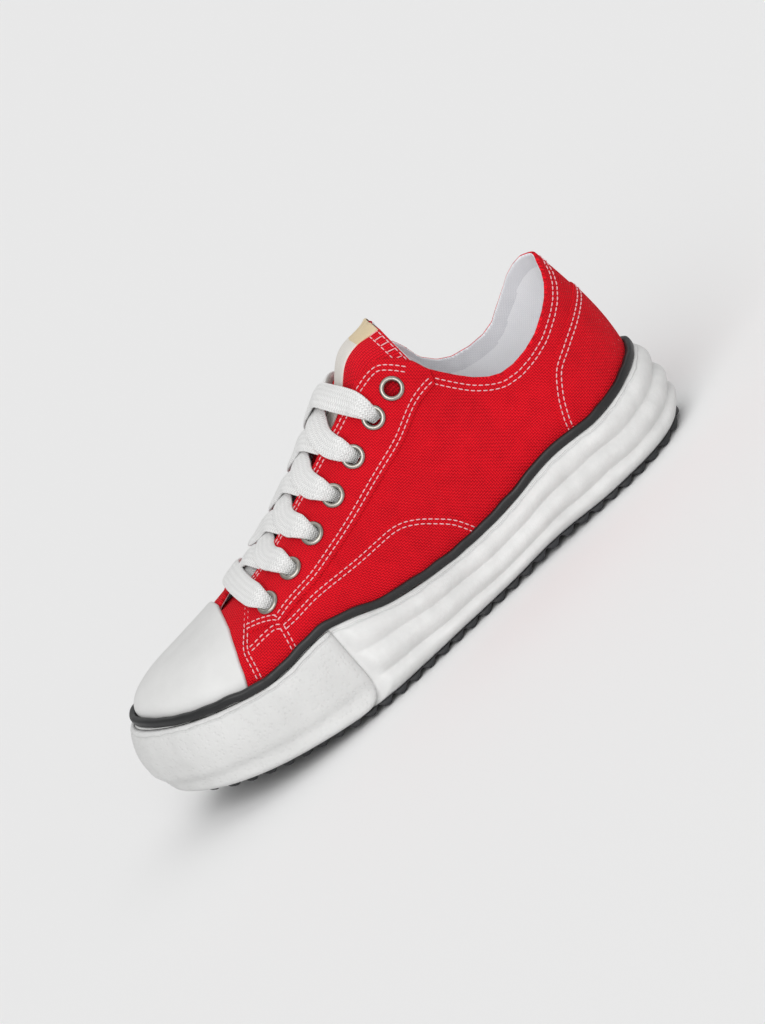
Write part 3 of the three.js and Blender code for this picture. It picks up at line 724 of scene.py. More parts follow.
def build_canvas():
    """Height = s x edge, over three rows that step down and in from the rim."""
    s = np.linspace(0, 1, 96)[:, None]
    tuck = rim_offset(np.repeat(SHELL_TURNS, 3, 0), np.array([-0.8, -0.3, 0.0])[:, None])
    tuck[..., 2] -= np.array([5.0, 3.0, 1.2])[:, None]
    canvas = np.concatenate([tuck, skin(SHELL_TURNS, s * SHELL_EDGE, 0.0)])
    faces = grid_faces(len(canvas), SHELL_COLUMNS, ring_columns=True)
    uv = cloth_uv(SHELL_TURNS, np.concatenate([np.zeros((3, 1)), s]) * SHELL_EDGE)
    make_piece("upper_canvas", canvas, faces[punch(canvas, faces)], [red_canvas], ["upper"], "red_canvas",
               uv=uv, weld=1e-6)


def build_lining():
    """Lip rows: half a circle from the canvas to the lining, in the plane of the normal and the
    climb. Then rows back down 2.2 mm deeper, and a skirt to the floor. Tape covers 7 mm below the
    collar's edge."""
    turns, edge = SHELL_TURNS, SHELL_EDGE
    angle = np.linspace(0, math.pi, 9)[:, None]
    half = CANVAS_WALL / 2
    normal = last_normal(turns, edge)
    climb = unit(last_point(turns, edge) - last_point(turns, edge - 0.01))
    lip = (skin(turns, edge, 0.0) - normal * half
           + normal * (np.cos(angle) * half)[..., None] + climb * (np.sin(angle) * half)[..., None])
    down = np.linspace(1, 0, 60)[1:, None]
    levels = np.linspace(1, 0, 8)[1:, None]
    foot = rim_offset(turns, -CANVAS_WALL)
    skirt = np.repeat(foot, 7, 0)
    skirt[..., 2] = foot[..., 2] * levels + (floor_height(foot[..., 0]) + 1) * (1 - levels)
    inside = np.concatenate([lip, skin(turns, down * edge, -CANVAS_WALL), skirt])
    faces = grid_faces(len(inside), SHELL_COLUMNS, ring_columns=True)
    depth = np.concatenate([np.zeros((9, 1)) * edge, (1 - down) * edge, np.ones((7, 1)) * edge])
    uv = cloth_uv(turns, np.clip(edge - depth, 0, 1))
    uv[-7:, :, 1] -= (np.arange(1, 8) * 0.002)[:, None]
    # where the shell runs closed over the crest there is no edge to roll
    closed = edge[0] > 0.9999
    row, column = np.divmod(faces[:, 0], SHELL_COLUMNS)
    keep = punch(inside, faces) & ~((row < 8) & closed[column] & closed[(column + 1) % SHELL_COLUMNS])
    climbs = RISE_LENGTH[(turns[0] / TURNS * ROUND_STEPS).astype(int), -1]
    below = climbs[column] * depth.reshape(-1)[faces[:, 0]]
    slots = np.where(row < 5, 0, np.where((below < 7.0) & (nearest_rib(turns[0])[column] < 3.6), 2, 1))
    make_piece("upper_lining", inside, faces[keep], [red_canvas, lining_drill, collar_tape], ["upper"],
               "red_canvas", slots[keep], uv, 1e-6)


build_canvas()
build_lining()

# %% [markdown]
# ## Sewn-on panels
# The eyestay, the wavy lower quarter and the heel counter are second layers of the same canvas,
# with their edges folded under. Each is a Coons patch between four curves drawn on the last. Its
# lift drops to nothing at a free edge along a quarter ellipse, which gives a fold its shadow line.

# %% Panel helper
def open_curve(knots, count):
    """Catmull-Rom through an open list of (rib, height), read at even steps of length in
    millimetres of cloth."""
    knots = padded(knots)
    t = np.linspace(0, len(knots) - 3, 400)
    k = np.minimum(t.astype(int), len(knots) - 4)
    fine = catmull(knots[k], knots[k + 1], knots[k + 2], knots[k + 3], (t - k)[:, None])
    run = run_length(last_point(fine[:, 0], np.clip(fine[:, 1], 0, 1)))
    want = np.linspace(0, run[-1], count)
    return np.stack([np.interp(want, run, fine[:, k]) for k in (0, 1)], -1)


def edge_curve(start, end, count):
    """The canvas's own edge between two ribs."""
    turns = np.linspace(start, end, 60)
    return open_curve(np.stack([turns, edge_at(turns)], -1), count)


def fine_ends(count, length, radius=1.0):
    """Steps from 0 to 1 with five close ones in the first and last millimetre."""
    close = np.array([0, 0.06, 0.2, 0.42, 0.7, 1.0]) * radius / length
    middle = np.linspace(close[-1], 1 - close[-1], count)[1:-1]
    return np.concatenate([close, middle, 1 - close[::-1]])


def read_curve(curve, at):
    """An open curve at parts at of its length."""
    fine, where = open_curve(curve, 300), np.linspace(0, 1, 300)
    return np.stack([np.interp(at, where, fine[:, k]) for k in (0, 1)], -1)


def sewn_panel(name, bottom, top, left, right, lift, free, size, mirror=True):
    """Coons patch: (1-t)bottom + t top + (1-s)left + s right, less the blend of the corners, all in
    (rib, height). free names the folded sides, whose lift is -0.3 mm at the fold and whole at 0.9
    mm. mirror repeats the patch on the inner side."""
    s, t = fine_ends(150, size[0]), fine_ends(36, size[1])
    low, high = (read_curve(curve, s)[None] for curve in (bottom, top))
    near, far = (read_curve(curve, t)[:, None] for curve in (left, right))
    s, t = s[None, :, None], t[:, None, None]
    corners = ((1 - s) * (1 - t) * low[:, :1] + s * (1 - t) * low[:, -1:]
               + (1 - s) * t * high[:, :1] + s * t * high[:, -1:])
    patch = (1 - t) * low + t * high + (1 - s) * near + s * far - corners
    turn, height = patch[..., 0], np.clip(patch[..., 1], 0, 1)
    place = last_point(turn, height)
    over, up = run_length(place, 1), run_length(place, 0)
    away = {"left": over, "right": over[:, -1:] - over, "bottom": up, "top": up[-1:] - up}
    raised = -0.3 + (lift + 0.3) * rounded(np.minimum.reduce([away[side] for side in free]), 0.9)
    parts, uv = [], []
    for turns in ((turn, TURNS - turn) if mirror else (turn,)):
        points = skin(turns, height, raised).reshape(-1, 3)
        faces = grid_faces(*turn.shape)
        p = points[faces]
        facing = np.cross(p[:, 2] - p[:, 0], p[:, 3] - p[:, 1])
        out = (p.mean(1) - [0, 0, 60.0]) * [0, 1, 1]
        if np.einsum("ij,ij->", facing, out) < 0:
            faces = faces[:, ::-1]
        parts.append((points, faces[punch(points, faces)]))
        uv.append(cloth_uv(turns, height).reshape(-1, 2))
    make_piece(name, *join(parts), [red_canvas], ["upper"], "red_canvas", uv=np.concatenate(uv), weld=1e-7)


# %% [markdown]
# The seams' lines come first, because the stitches follow them too. Each is a list of (rib,
# height) places, toe end last.

# %% Seam lines and the three panels
EYESTAY_LOW = [
    (3.55, 0.472), (4.31, 0.397), (4.94, 0.397), (5.54, 0.387), (6.17, 0.362), (6.75, 0.300),
    (7.2, 0.282), (7.46, 0.275), (7.57, 0.335), (7.74, 0.408), (7.95, 0.47),
]
EYESTAY_FRONT = [(7.95, 0.47), (7.86, 0.60), (7.77, 0.70), (7.72, float(edge_at(7.72)))]
PANEL_TOP = [
    (4.36, 0.0), (4.55, 0.08), (4.77, 0.141), (4.99, 0.196), (5.24, 0.241), (5.54, 0.266), (6.17, 0.286),
    (6.80, 0.281), (7.2, 0.272), (7.46, 0.29), (7.57, 0.335), (7.79, 0.362), (8.12, 0.37),
]
PANEL_FRONT = [(8.34, 0.0), (8.30, 0.1), (8.27, 0.191), (8.12, 0.37)]
COUNTER_TOP = [
    (2.60, 0.0), (2.52, 0.08), (2.33, 0.201), (2.05, 0.312), (1.64, 0.377), (1.20, 0.422), (0.51, 0.482),
    (0, 0.513),
]
COUNTER = COUNTER_TOP + [(-rib, height) for rib, height in COUNTER_TOP[-2::-1]]

sewn_panel("panel_quarter", [(4.36, 0.0), (6.3, 0.0), (8.34, 0.0)], PANEL_TOP, [(4.36, 0.0)] * 3,
           PANEL_FRONT, 0.7, ("top", "right"), (140.0, 20.0))
sewn_panel("panel_heel_counter", [(2.60, 0.0), (0.0, 0.0), (-2.60, 0.0)], COUNTER, [(2.6, 0.0)] * 3,
           [(-2.6, 0.0)] * 3, 0.7, ("top",), (140.0, 40.0), mirror=False)
sewn_panel("panel_eyestay", EYESTAY_LOW, edge_curve(3.47, 7.72, 60),
           [(3.55, 0.472), (3.51, 0.51), (3.47, float(edge_at(3.47)))], EYESTAY_FRONT,
           1.1, ("bottom", "top", "right"), (150.0, 28.0))

# %% [markdown]
# ## Stitches
# A lockstitch shows as short beads of thread that dive into the cloth at both ends. One small bead
# is repeated along each seam: numpy places all of a seam's beads at once, each turned to its own
# stretch of the seam.

# %% Stitch helper
def dot(a, b):
    return np.einsum("ij,ij->i", a, b)


def seam_shift(path, shift):
    """Moves a seam sideways by shift mm: the wanted step, normal x run, is split into rib and
    height parts by solving the two surface tangents for it."""
    turn, height = path[:, 0], path[:, 1]
    for _ in range(2):
        run = unit(np.gradient(last_point(turn, height), axis=0))
        step = np.cross(last_normal(turn, np.minimum(height, 0.999)), run) * (shift / 2)
        high, low = np.clip(height + 0.01, 0, 1), np.clip(height - 0.01, 0, 1)
        by_turn = (last_point(turn + 0.01, height) - last_point(turn - 0.01, height)) / 0.02
        by_height = (last_point(turn, high) - last_point(turn, low)) / (high - low)[:, None]
        a, b, c = dot(by_turn, by_turn), dot(by_turn, by_height), dot(by_height, by_height)
        d, e = dot(by_turn, step), dot(by_height, step)
        det = a * c - b * b
        turn, height = turn + (d * c - e * b) / det, np.clip(height + (e * a - d * b) / det, 0, 1)
    return np.stack([turn, height], -1)


def bead():
    """One stitch, 1 long and 1 across: a six-sided tube on seven rings whose width is
    (1 - s4)^(1/2) and whose middle line sinks by s4 towards its ends."""
    s = np.array([-1, -0.86, -0.5, 0, 0.5, 0.86, 1.0])[:, None]
    angle = (np.arange(6) + 0.5)[None] * math.pi / 3
    wide = np.sqrt(np.maximum(1 - s**4, 0.02))
    points = stack(s / 2, np.cos(angle) * wide / 2, np.sin(angle) * wide / 2 - 0.55 * s**4)
    tube = grid_faces(7, 6, ring_columns=True)
    caps = [[0, 1, 2, 3], [0, 3, 4, 5], [39, 38, 37, 36], [41, 40, 39, 36]]
    return points.reshape(-1, 3), outward(points, np.concatenate([tube, caps]))


BEAD, BEAD_FACES = bead()


def stitch_beads(points, normals, pitch=2.9, length=2.3, width=0.6):
    """Beads at even steps along a path, with the axes run, normal x run, and normal."""
    run = run_length(points)
    count = max(int(run[-1] / pitch), 1)
    want = (np.arange(count) + 0.5) * run[-1] / count
    read = lambda values, at: np.stack([np.interp(at, run, values[:, k]) for k in range(3)], -1)
    along = unit(read(points, want + length / 3) - read(points, want - length / 3))
    side = unit(np.cross(unit(read(normals, want)), along))
    axes = np.stack([along * length, side * width, np.cross(along, side) * width], 1)
    placed = read(points, want)[:, None] + BEAD @ axes
    return placed.reshape(-1, 3), copies(BEAD_FACES, count, len(BEAD))


def seam(path, shift, lift, sides=(1, -1)):
    """Beads along a seam on one or both sides of the shoe. lift is the cloth's height there."""
    fine = open_curve(path, 240)
    turn, height = (seam_shift(fine, shift) if shift else fine).T
    height = np.clip(height, 0, 1)
    both = [turn if side > 0 else TURNS - turn for side in sides]
    return [stitch_beads(skin(turns, height, lift + 0.18), last_normal(turns, height)) for turns in both]


# %% Stitches of the upper
THROAT_EDGE, OUTER_COLLAR_EDGE, INNER_COLLAR_EDGE = (
    [(turn, float(edge_at(turn))) for turn in np.linspace(start, end, 30)]
    for start, end in ((3.62, 7.66), (0.0, 3.42), (TURNS - 3.42, TURNS)))
FRONT_SEAM = [(8.26, 0.035), (8.21, 0.191), (8.15, 0.362), (7.96, 0.503), (7.77, 0.623), (7.66, 0.70)]
LOWER_WEDGE = [(7.46, 0.271), (7.57, 0.322), (7.79, 0.347), (8.06, 0.352)]
SIDE_SEAM = [(7.50, 0.262), (7.53, 0.166), (7.56, 0.085), (7.58, 0.03)]
# Each row: the line, its two rows' distances from it in mm, the cloth's lift, and the sides.
SEAMS = [
    (EYESTAY_LOW, (-2.2, -4.4), 1.1, (1, -1)),
    (THROAT_EDGE, (3.0, 5.4), 1.1, (1, -1)),
    (PANEL_TOP[:10], (2.2, 4.4), 0.7, (1, -1)),
    (COUNTER, (-2.4, -4.8), 0.7, (1,)),
    (OUTER_COLLAR_EDGE, (3.0, 5.5), 0.0, (1,)),
    (INNER_COLLAR_EDGE, (3.0, 5.5), 0.0, (1,)),
    (FRONT_SEAM, (0.0, -2.1), 0.7, (1, -1)),
    (LOWER_WEDGE, (0.0, 2.1), 0.7, (1, -1)),
    (SIDE_SEAM, (0.0, 2.1), 0.7, (1, -1)),
]
beads = [row for path, shifts, lift, sides in SEAMS for shift in shifts
         for row in seam(path, shift, lift, sides)]
make_piece("stitches_upper", *join(beads), [white_thread], ["upper"], "red_canvas")

# %% [markdown]
# ## The sole's wall
# The white wall is poured and worked by hand: three soft ridges run round it, never quite level
# and never quite even. Each ridge is a half sine between two grooves, with a slow seeded ripple
# in its depth and its level.

# %% Wall formula
OUTSOLE_THICKNESS = 3.3
STRIPE_HEIGHT = 5.0
GAP = 0.3
WALL_COLUMNS = 720
GROOVES = np.array([0, 0.27, 0.62, 1.0])


def tread_height(x):
    """Underside of the tread: flat, with toe spring as a 1.5 power, a round heel and a low arch."""
    toe = 14.2 * (np.maximum(x - 30, 0) / 110) ** 1.5
    heel = 3.5 * (np.maximum(-132 - x, 0) / 20) ** 2
    return toe + heel + 1.5 * np.sin(math.pi * np.clip((x + 100) / 70, 0, 1)) ** 2


def ripple(turn, seed, waves, size):
    """Seeded sum of whole-number sines round the shoe, so it closes on itself."""
    draw = np.random.default_rng(seed)
    angle = turn / TURNS * 2 * math.pi
    total = np.zeros(np.shape(turn))
    for wave in waves:
        total = total + draw.normal() * np.sin(wave * angle + draw.uniform(0, 2 * math.pi))
    return size * total / math.sqrt(len(waves))


def wall_offset(turn, level, ridge):
    """How far the wall stands out from the rim: bulge, less a tuck under it and a roll at its top,
    plus the ridges. A slit, exp(-(distance / 0.012)2) deep, wanders just under the stripe."""
    under = rib_value(turn, "under") * np.maximum(1 - level / 0.4, 0) ** 2
    crown = rib_value(turn, "crown") * np.maximum((level - 0.5) / 0.5, 0) ** 2
    slit = 0.9 * np.exp(-((level - 0.945 - ripple(turn, 31, range(9, 80), 0.008)) / 0.012) ** 2)
    k = np.clip(np.searchsorted(GROOVES, level, side="right") - 1, 0, 2)
    lobe = np.sin(math.pi * (level - GROOVES[k]) / (GROOVES[k + 1] - GROOVES[k]))
    return rib_value(turn, "bulge") - under - crown + ridge * (lobe - 0.6) - slit


def bumper_corner(level):
    """How far the bumper's rear edge draws towards the toe near its foot: a quarter ellipse."""
    return 0.36 * (1 - rounded(level, 0.32))


def wall_point(turn, level, offset):
    """A level of the wall: 0 on the tread's top face, 1 just under the stripe."""
    place = rim_offset(turn, offset)
    foot = tread_height(place[..., 0]) + OUTSOLE_THICKNESS
    top = rib_value(turn, "rim") - STRIPE_HEIGHT / 2 - GAP
    place[..., 2] = foot + (top - foot) * level
    return place


def narrowed(row, parts):
    """Copies of a row of points, drawn in to the middle line by these parts of its width."""
    rows = np.repeat(row, len(parts), 0)
    rows[..., 1] *= np.array(parts)[:, None]
    return rows


# %% Midsole
def build_midsole():
    """Wall rows up the outside, a ledge in under the stripe, a drop to the insole's floor, and both
    faces closed to the middle line. Behind the toe bumper the wall steps back."""
    turns = turns_round(WALL_COLUMNS)
    level = np.concatenate([np.linspace(0, 0.9, 58)[:-1], np.linspace(0.9, 1, 24)])[:, None]
    covered = smooth(nearest_rib(turns) - bumper_corner(level), 6.76, 7.0)
    wobble = ripple(turns, 3, range(5, 26), 0.014) * np.sin(math.pi * level)
    moved = np.clip(level + wobble * (1 - covered), 0, 1)
    ridge = 2.6 * (1 - covered) * (1 + ripple(turns, 5, range(4, 30), 0.16))
    dent = (ripple(turns, 7, range(9, 60), 0.16) * np.sin(2.2 * math.pi * level + 1)
            + ripple(turns, 8, range(20, 90), 0.09) * np.cos(5 * level))
    offset = wall_offset(turns, moved, ridge) + dent * (1 - covered) * np.sin(math.pi * level) ** 0.5
    offset = offset - covered * 2.9
    wall = wall_point(turns, level, offset)
    inward = np.array([0.75, 0.5, 0.25, 0.0])[:, None]
    ledge = wall_point(np.repeat(turns, 4, 0), 1.0, 0.3 + (offset[-1:] - 0.3) * inward)
    drop = rim_offset(turns, GAP)
    drop[..., 2] = floor_height(drop[..., 0])
    under = narrowed(wall[:1], (0.0, 0.25, 0.6))
    under[..., 2] = tread_height(under[..., 0]) + OUTSOLE_THICKNESS
    rows = np.concatenate([under, wall, ledge, drop, narrowed(drop, (0.6, 0.25, 0.0))])
    make_piece("midsole_wall", rows, tube_faces(rows), [white_rubber], ["midsole"], "white_rubber",
               weld=1e-6)


build_midsole()

# %% [markdown]
# ## Toe bumper, stripe and toe cap
# The bumper is a separate strip of rubber that laps round the toe: smooth, faintly dimpled, with a
# thick lip along its foot. The stripe is a black cord of rubber. The cap is a thin rubber shell
# that follows the last, and its cut edge is a soft quarter round.

# %% Bumper
BUMPER_END = 7.01
BUMPER_THICKNESS = 2.6


def build_bumper():
    """A closed ring section carried round the toe. Its outer face is the wall without ridges plus a
    lip of 2.1 mm along its foot; both ends close with the thickness falling as a half ellipse."""
    close = np.linspace(0, 0.02, 12)[:-1]
    s = np.concatenate([close, np.linspace(0.02, 0.98, 339), 1 - close[::-1]])[:, None]
    level = np.concatenate([np.linspace(0, 0.9, 52)[:-1], np.linspace(0.9, 0.995, 22)])[None]
    start = BUMPER_END + bumper_corner(level)
    turns = start + (TURNS - 2 * start) * s
    lip = 2.1 * np.exp(-((level - 0.05) / 0.085) ** 2) - 0.7 * np.exp(-((level - 0.24) / 0.07) ** 2)
    dents = ripple(turns, 11, range(12, 70), 0.14) * np.sin(math.pi * level)
    roll = 1.1 * (1 - rounded(np.minimum(level, 1 - level), 0.05))
    wall = wall_offset(turns, level, 0.0)
    thinned = BUMPER_THICKNESS * (1 - rounded(np.minimum(s, 1 - s), 0.02))
    face = wall_point(turns, level, wall + lip + dents - roll - thinned)
    back = wall_point(turns, level, wall - BUMPER_THICKNESS)
    rows = np.concatenate([face, back[:, ::-1]], 1)
    make_piece("toe_bumper_moulded", rows, tube_faces(rows, capped=True), [bumper_rubber], ["toe_bumper"],
               "bumper_rubber", weld=1e-6)


build_bumper()


# %% Stripe
def build_stripe():
    """A rounded box section (a superellipse of power 3) carried round the rim, 3.6 mm deep and 4.4
    mm high, stepped out 1.8 mm over the toe cap, with a slow ripple of a quarter millimetre."""
    turns = turns_round(WALL_COLUMNS).T
    angle = around(24)[None]
    out, up = signed_power(np.cos(angle), 2 / 3), signed_power(np.sin(angle), 2 / 3)
    inner = 0.6 + 1.8 * smooth(rib_value(turns, "x"), 74, 82)
    place = rim_offset(turns, inner + 1.8 + 1.8 * out + ripple(turns, 21, range(6, 40), 0.12))
    place[..., 2] += 2.2 * up - 0.3 + ripple(turns, 22, range(6, 60), 0.26)
    faces = outward(place, grid_faces(WALL_COLUMNS, 24, ring_rows=True, ring_columns=True))
    make_piece("foxing_stripe_round", place, faces, [stripe_rubber], ["foxing_stripe"], "stripe_rubber")


build_stripe()

# %% Toe cap
CAP_EDGE = np.array([
    (0.0, 8.46), (0.176, 8.37), (0.302, 8.32), (0.417, 8.26), (0.533, 8.21), (0.653, 8.15),
    (0.789, 8.13), (0.874, 8.13), (1.0, 8.13),
])


def build_toe_cap():
    """Rows climb the ribs from the stripe to the crest; each runs from the cap's rear edge on one
    side round the toe to the other. The shell stands 1.8 mm proud and its rear edge is rounded."""
    height = np.concatenate([np.linspace(0, 0.9, 70), 1 - 0.1 * np.linspace(1, 0, 14)[1:] ** 1.5])[:, None]
    start = np.interp(height, *CAP_EDGE.T)
    turns = start + (TURNS - 2 * start) * fine_ends(240, 220.0, 1.4)[None]
    run = run_length(last_point(turns, height), 1)
    lift = 0.2 + 1.6 * rounded(np.minimum(run, run[:, -1:] - run), 1.2)
    face = offset_point(turns, height, lift)
    # both sides end on the same crest line, so the weld closes it
    face[-1] = (face[-1] + face[-1, ::-1]) / 2
    foot = rim_offset(np.repeat(turns[:1], 2, 0), np.repeat(lift[:1], 2, 0))
    foot[..., 2] -= np.array([2.4, 1.2])[:, None]
    rows = np.concatenate([foot, face])
    make_piece("toe_cap_rubber", rows, grid_faces(*rows.shape[:2]), [cap_rubber], ["toe_cap"],
               "cap_rubber", weld=4e-5)


build_toe_cap()

# %% [markdown]
# ## Tongue and insole
# The tongue is two layers of canvas with a little wadding, its end overlocked with close ladder
# stitches, and a plain label strip sewn down its middle. The insole is a cloth-covered foam sheet.

# %% Tongue
TONGUE_THICKNESS = 3.0
TONGUE_LENGTH = 190.0
TONGUE_ROOT, TONGUE_END = 8.55, 3.68
LABEL_ROOT, LABEL_END = 0.62, 0.998
LABEL_LENGTH, LABEL_WIDTH = 80.0, 24.0


def tongue_place(t, side):
    """t runs from under the toe cap (0) to the free end (1); side from -1 to 1 across it. The face
    lies 5.6 mm below the last's surface, meets the canvas at the front, and swells up by 6.2 mm x
    (1 - |side|^3) towards the free end, less 3.2 mm at the end itself."""
    rib = TONGUE_ROOT + (TONGUE_END - 0.14 * np.abs(side) - TONGUE_ROOT) * t
    swell = (6.2 * smooth(t, 0.74, 0.88) - 3.2 * smooth(t, 0.88, 1.0)) * (1 - np.abs(side) ** 3)
    return rib, side * (0.40 + 0.10 * t), -2.8 - 2.8 * smooth(t, 0.02, 0.22) + swell


def tongue_beads(t, side, **size):
    """Beads along a line on the tongue's face."""
    rib, reach, face = tongue_place(*np.broadcast_arrays(t, side))
    return stitch_beads(across(rib, reach, face + 0.2), across_normal(rib, reach), **size)


def build_tongue():
    """A slab whose section is a squared oval: (side, depth) = (cos^0.55, 1.5 mm x sin^0.35)."""
    t = fine_ends(150, TONGUE_LENGTH, 1.5)[:, None]
    angle = around(120)[None]
    side, thick = signed_power(np.cos(angle), 0.55), signed_power(np.sin(angle), 0.35)
    half = TONGUE_THICKNESS / 2
    pad = 0.5 * np.cos(side * math.pi / 2) * smooth(t, 0.75, 0.9) * (1 - smooth(t, 0.93, 0.98))
    rib, reach, face = tongue_place(t, side)
    place = across(rib, reach, face - half + (half * rounded((1 - t) * TONGUE_LENGTH, 1.5) + pad) * thick)
    uv = np.stack(np.broadcast_arrays(t * 0.19, side * 0.03), -1)
    faces = tube_faces(place, capped=True)
    is_lining = (thick[0][faces[:, 0] % thick.size] <= -0.5).astype(int)
    make_piece("tongue_canvas", place, faces, [tongue_canvas, lining_drill], ["tongue"],
               "tongue_canvas", is_lining, uv)
    # ladder stitches: beads that run along the tongue, side by side across its end
    beads = [tongue_beads(np.linspace(0.968, 0.992, 6), side, pitch=6.0, length=4.2, width=0.55)
             for side in np.linspace(-0.88, 0.88, 17)]
    beads += [tongue_beads(t, np.linspace(-0.96, 0.96, 60)) for t in (0.966, 0.993)]
    make_piece("stitches_tongue", *join(beads), [white_thread], ["tongue"], "tongue_canvas")


def build_label():
    """A plain strip, 24 mm wide and 1 mm proud of the tongue, with its two bands of tape: tan at the
    free end, white below. It carries no words."""
    t, s = fine_ends(60, LABEL_LENGTH)[:, None], fine_ends(30, LABEL_WIDTH)[None]
    run = LABEL_ROOT + (LABEL_END - LABEL_ROOT) * t
    side = 2 * s - 1
    reach = -0.07 + side * 0.18
    rib, _, face = tongue_place(run, reach / (0.40 + 0.10 * run))
    near = np.minimum(np.minimum(s, 1 - s) * LABEL_WIDTH, np.minimum(t, 1 - t) * LABEL_LENGTH)
    place = across(rib, reach, face + 0.05 + 0.95 * rounded(near, 0.8))
    faces = grid_faces(*rib.shape)
    p = place.reshape(-1, 3)[faces]
    if np.cross(p[:, 2] - p[:, 0], p[:, 3] - p[:, 1])[:, 2].sum() < 0:
        faces = faces[:, ::-1]
    is_tan = (t[faces[:, 0] // s.shape[1], 0] > 0.80).astype(int)
    uv = np.stack(np.broadcast_arrays(side * 0.012, run * 0.19), -1)
    make_piece("tongue_label", place, faces, [label_white, label_tan], ["tongue"], "tongue_canvas",
               is_tan, uv)


build_tongue()
build_label()


# %% Insole
def build_insole():
    """Rows shrink from the edge to the middle line by s. The top sinks by 1.4 mm x (1 - s^4), and
    its edge is rolled by 0.8 mm."""
    s = np.linspace(1, 0, 30)
    edge = rim_offset(turns_round(240), -CANVAS_WALL - GAP)
    top = narrowed(edge, s)
    s = s[:, None]
    rolled = 0.8 * (1 - np.clip((1 - s) * 12, 0, 1))
    top[..., 2] = floor_height(top[..., 0]) + 4.8 - 1.4 * (1 - s**4) - rolled
    low = narrowed(edge, (0.0, 1.0))
    low[..., 2] = floor_height(low[..., 0]) + 0.3
    rows = np.concatenate([low, top])
    make_piece("insole_bed", rows, tube_faces(rows), [insole_cloth], ["insole"], "insole_fabric",
               uv=rows[..., :2] / 1000, weld=1e-6)


build_insole()

# %% [markdown]
# ## Eyelets
# An eyelet is a brass tube whose rim is rolled over by a die: one profile, turned round each
# eyelet's axis, for all seven eyelets of a side at once.

# %% Eyelets
EYELET_PROFILE = np.array([
    (3.6, -2.4), (3.6, 1.0), (3.7, 1.6), (3.95, 2.1), (4.4, 2.35), (4.95, 2.35), (5.45, 2.1), (5.8, 1.7),
    (5.95, 1.25), (5.85, 0.95), (5.3, 0.85), (4.2, 0.85), (4.2, -2.4),
])


def build_eyelets():
    """Place = centre + radius x (cos, sin) in the plane of the eyelet + height x axis."""
    angle = around(48)[:, None]
    radius, height = (EYELET_PROFILE[None, :, k, None, None] for k in (0, 1))
    pairs = len(EYELETS)
    for side, pick in (("outer", slice(0, pairs)), ("inner", slice(pairs, None))):
        centre, axis = HOLE_PLACES[pick], HOLE_AXES[pick]
        first = unit(np.cross(axis, [1.0, 0, 0]))
        spoke = first[:, None] * np.cos(angle) + np.cross(axis, first)[:, None] * np.sin(angle)
        ring = centre[:, None, None] + spoke[:, None] * radius + axis[:, None, None] * height
        one = outward(ring[0], grid_faces(*ring.shape[1:3], ring_rows=True, ring_columns=True))
        make_piece(f"eyelets_{side}", ring, copies(one, pairs, ring[0].size // 3), [nickel],
                   [f"eyelet_{side}_{k + 1}" for k in range(pairs)], "eyelet_nickel")


build_eyelets()

# %% [markdown]
# ## Laces
# The lace is a flat cotton braid. Each strand rises out of its eyelet over the rolled rim, crosses
# the tongue and slips under the other edge on its way to the next eyelet up; the lowest is a
# straight bar. A strand is an oval section carried along its path, narrow and thick where the
# eyelet squeezes it, wide and flat between. The ends are tucked inside the shoe.

# %% Strand helper
def strand(reach, lift, rib, sign, width, thick, bank, seed):
    """A section with (w, h) = half size x (cos^0.75, sin^0.8) carried along the path. Its wide axis
    is the surface normal crossed with the direction of travel over the surface, so it does not
    twist where the path dives."""
    centre = across(rib, sign * reach, lift)
    travel = unit(np.gradient(across(rib, sign * reach, 0.0), axis=0))
    along = unit(np.gradient(centre, axis=0))
    wide = unit(np.cross(across_normal(rib, sign * reach), travel))
    up = unit(np.cross(along, wide))
    draw = np.random.default_rng(seed)
    slow = lambda size: size * sum(
        draw.normal() * np.sin(np.linspace(0, wave * math.pi, len(reach)) + draw.uniform(0, 6.3))
        for wave in (1, 2, 3, 5)) / 2
    width, thick = width * (1 + slow(0.03)), thick * (1 + slow(0.06))
    roll = (slow(0.06) + bank * sign)[:, None]
    wide, up = unit(wide + up * roll), unit(up - wide * roll)
    angle = around(40)
    w, h = signed_power(np.cos(angle), 0.75) / 2, signed_power(np.sin(angle), 0.8) / 2
    # a flat tubular braid has a faint valley down the middle of each face
    h = h * (1 - 0.10 * np.exp(-(w / 0.16) ** 2))
    ring = (centre[:, None] + wide[:, None] * (w[None] * width[:, None])[..., None]
            + up[:, None] * (h[None] * thick[:, None])[..., None])
    girth = np.cumsum(np.hypot(np.gradient(w) * 11, np.gradient(h) * 2.6))
    uv = np.stack(np.broadcast_arrays(run_length(centre)[:, None], girth[None]), -1) / 1000
    return ring.reshape(-1, 3), tube_faces(ring, capped=True), uv.reshape(-1, 2)


def ease(t, knots):
    """Reads (t, value) knots with Catmull-Rom, so the path has no corners."""
    at, value = padded(knots).T
    k = np.clip(np.searchsorted(at[1:-1], t, side="right"), 1, len(knots) - 1)
    s = (t - at[k]) / (at[k + 1] - at[k])
    return catmull(value[k - 1], value[k], value[k + 1], value[k + 2], s)


# %% Lace paths
# Along a strand, t is how far the reach has come down from its eyelet's middle: first the hook
# over the rolled rim, then the flat run. A hook's knot is t, then lift, width and thickness in mm.
HOOK = [
    (0.0, -3.0, 6.4, 3.8), (0.02, 0.9, 7.2, 3.8), (0.05, 3.3, 9.4, 3.6), (0.09, 3.9, 11.2, 3.3),
    (0.14, 3.4, 12.2, 3.1),
]
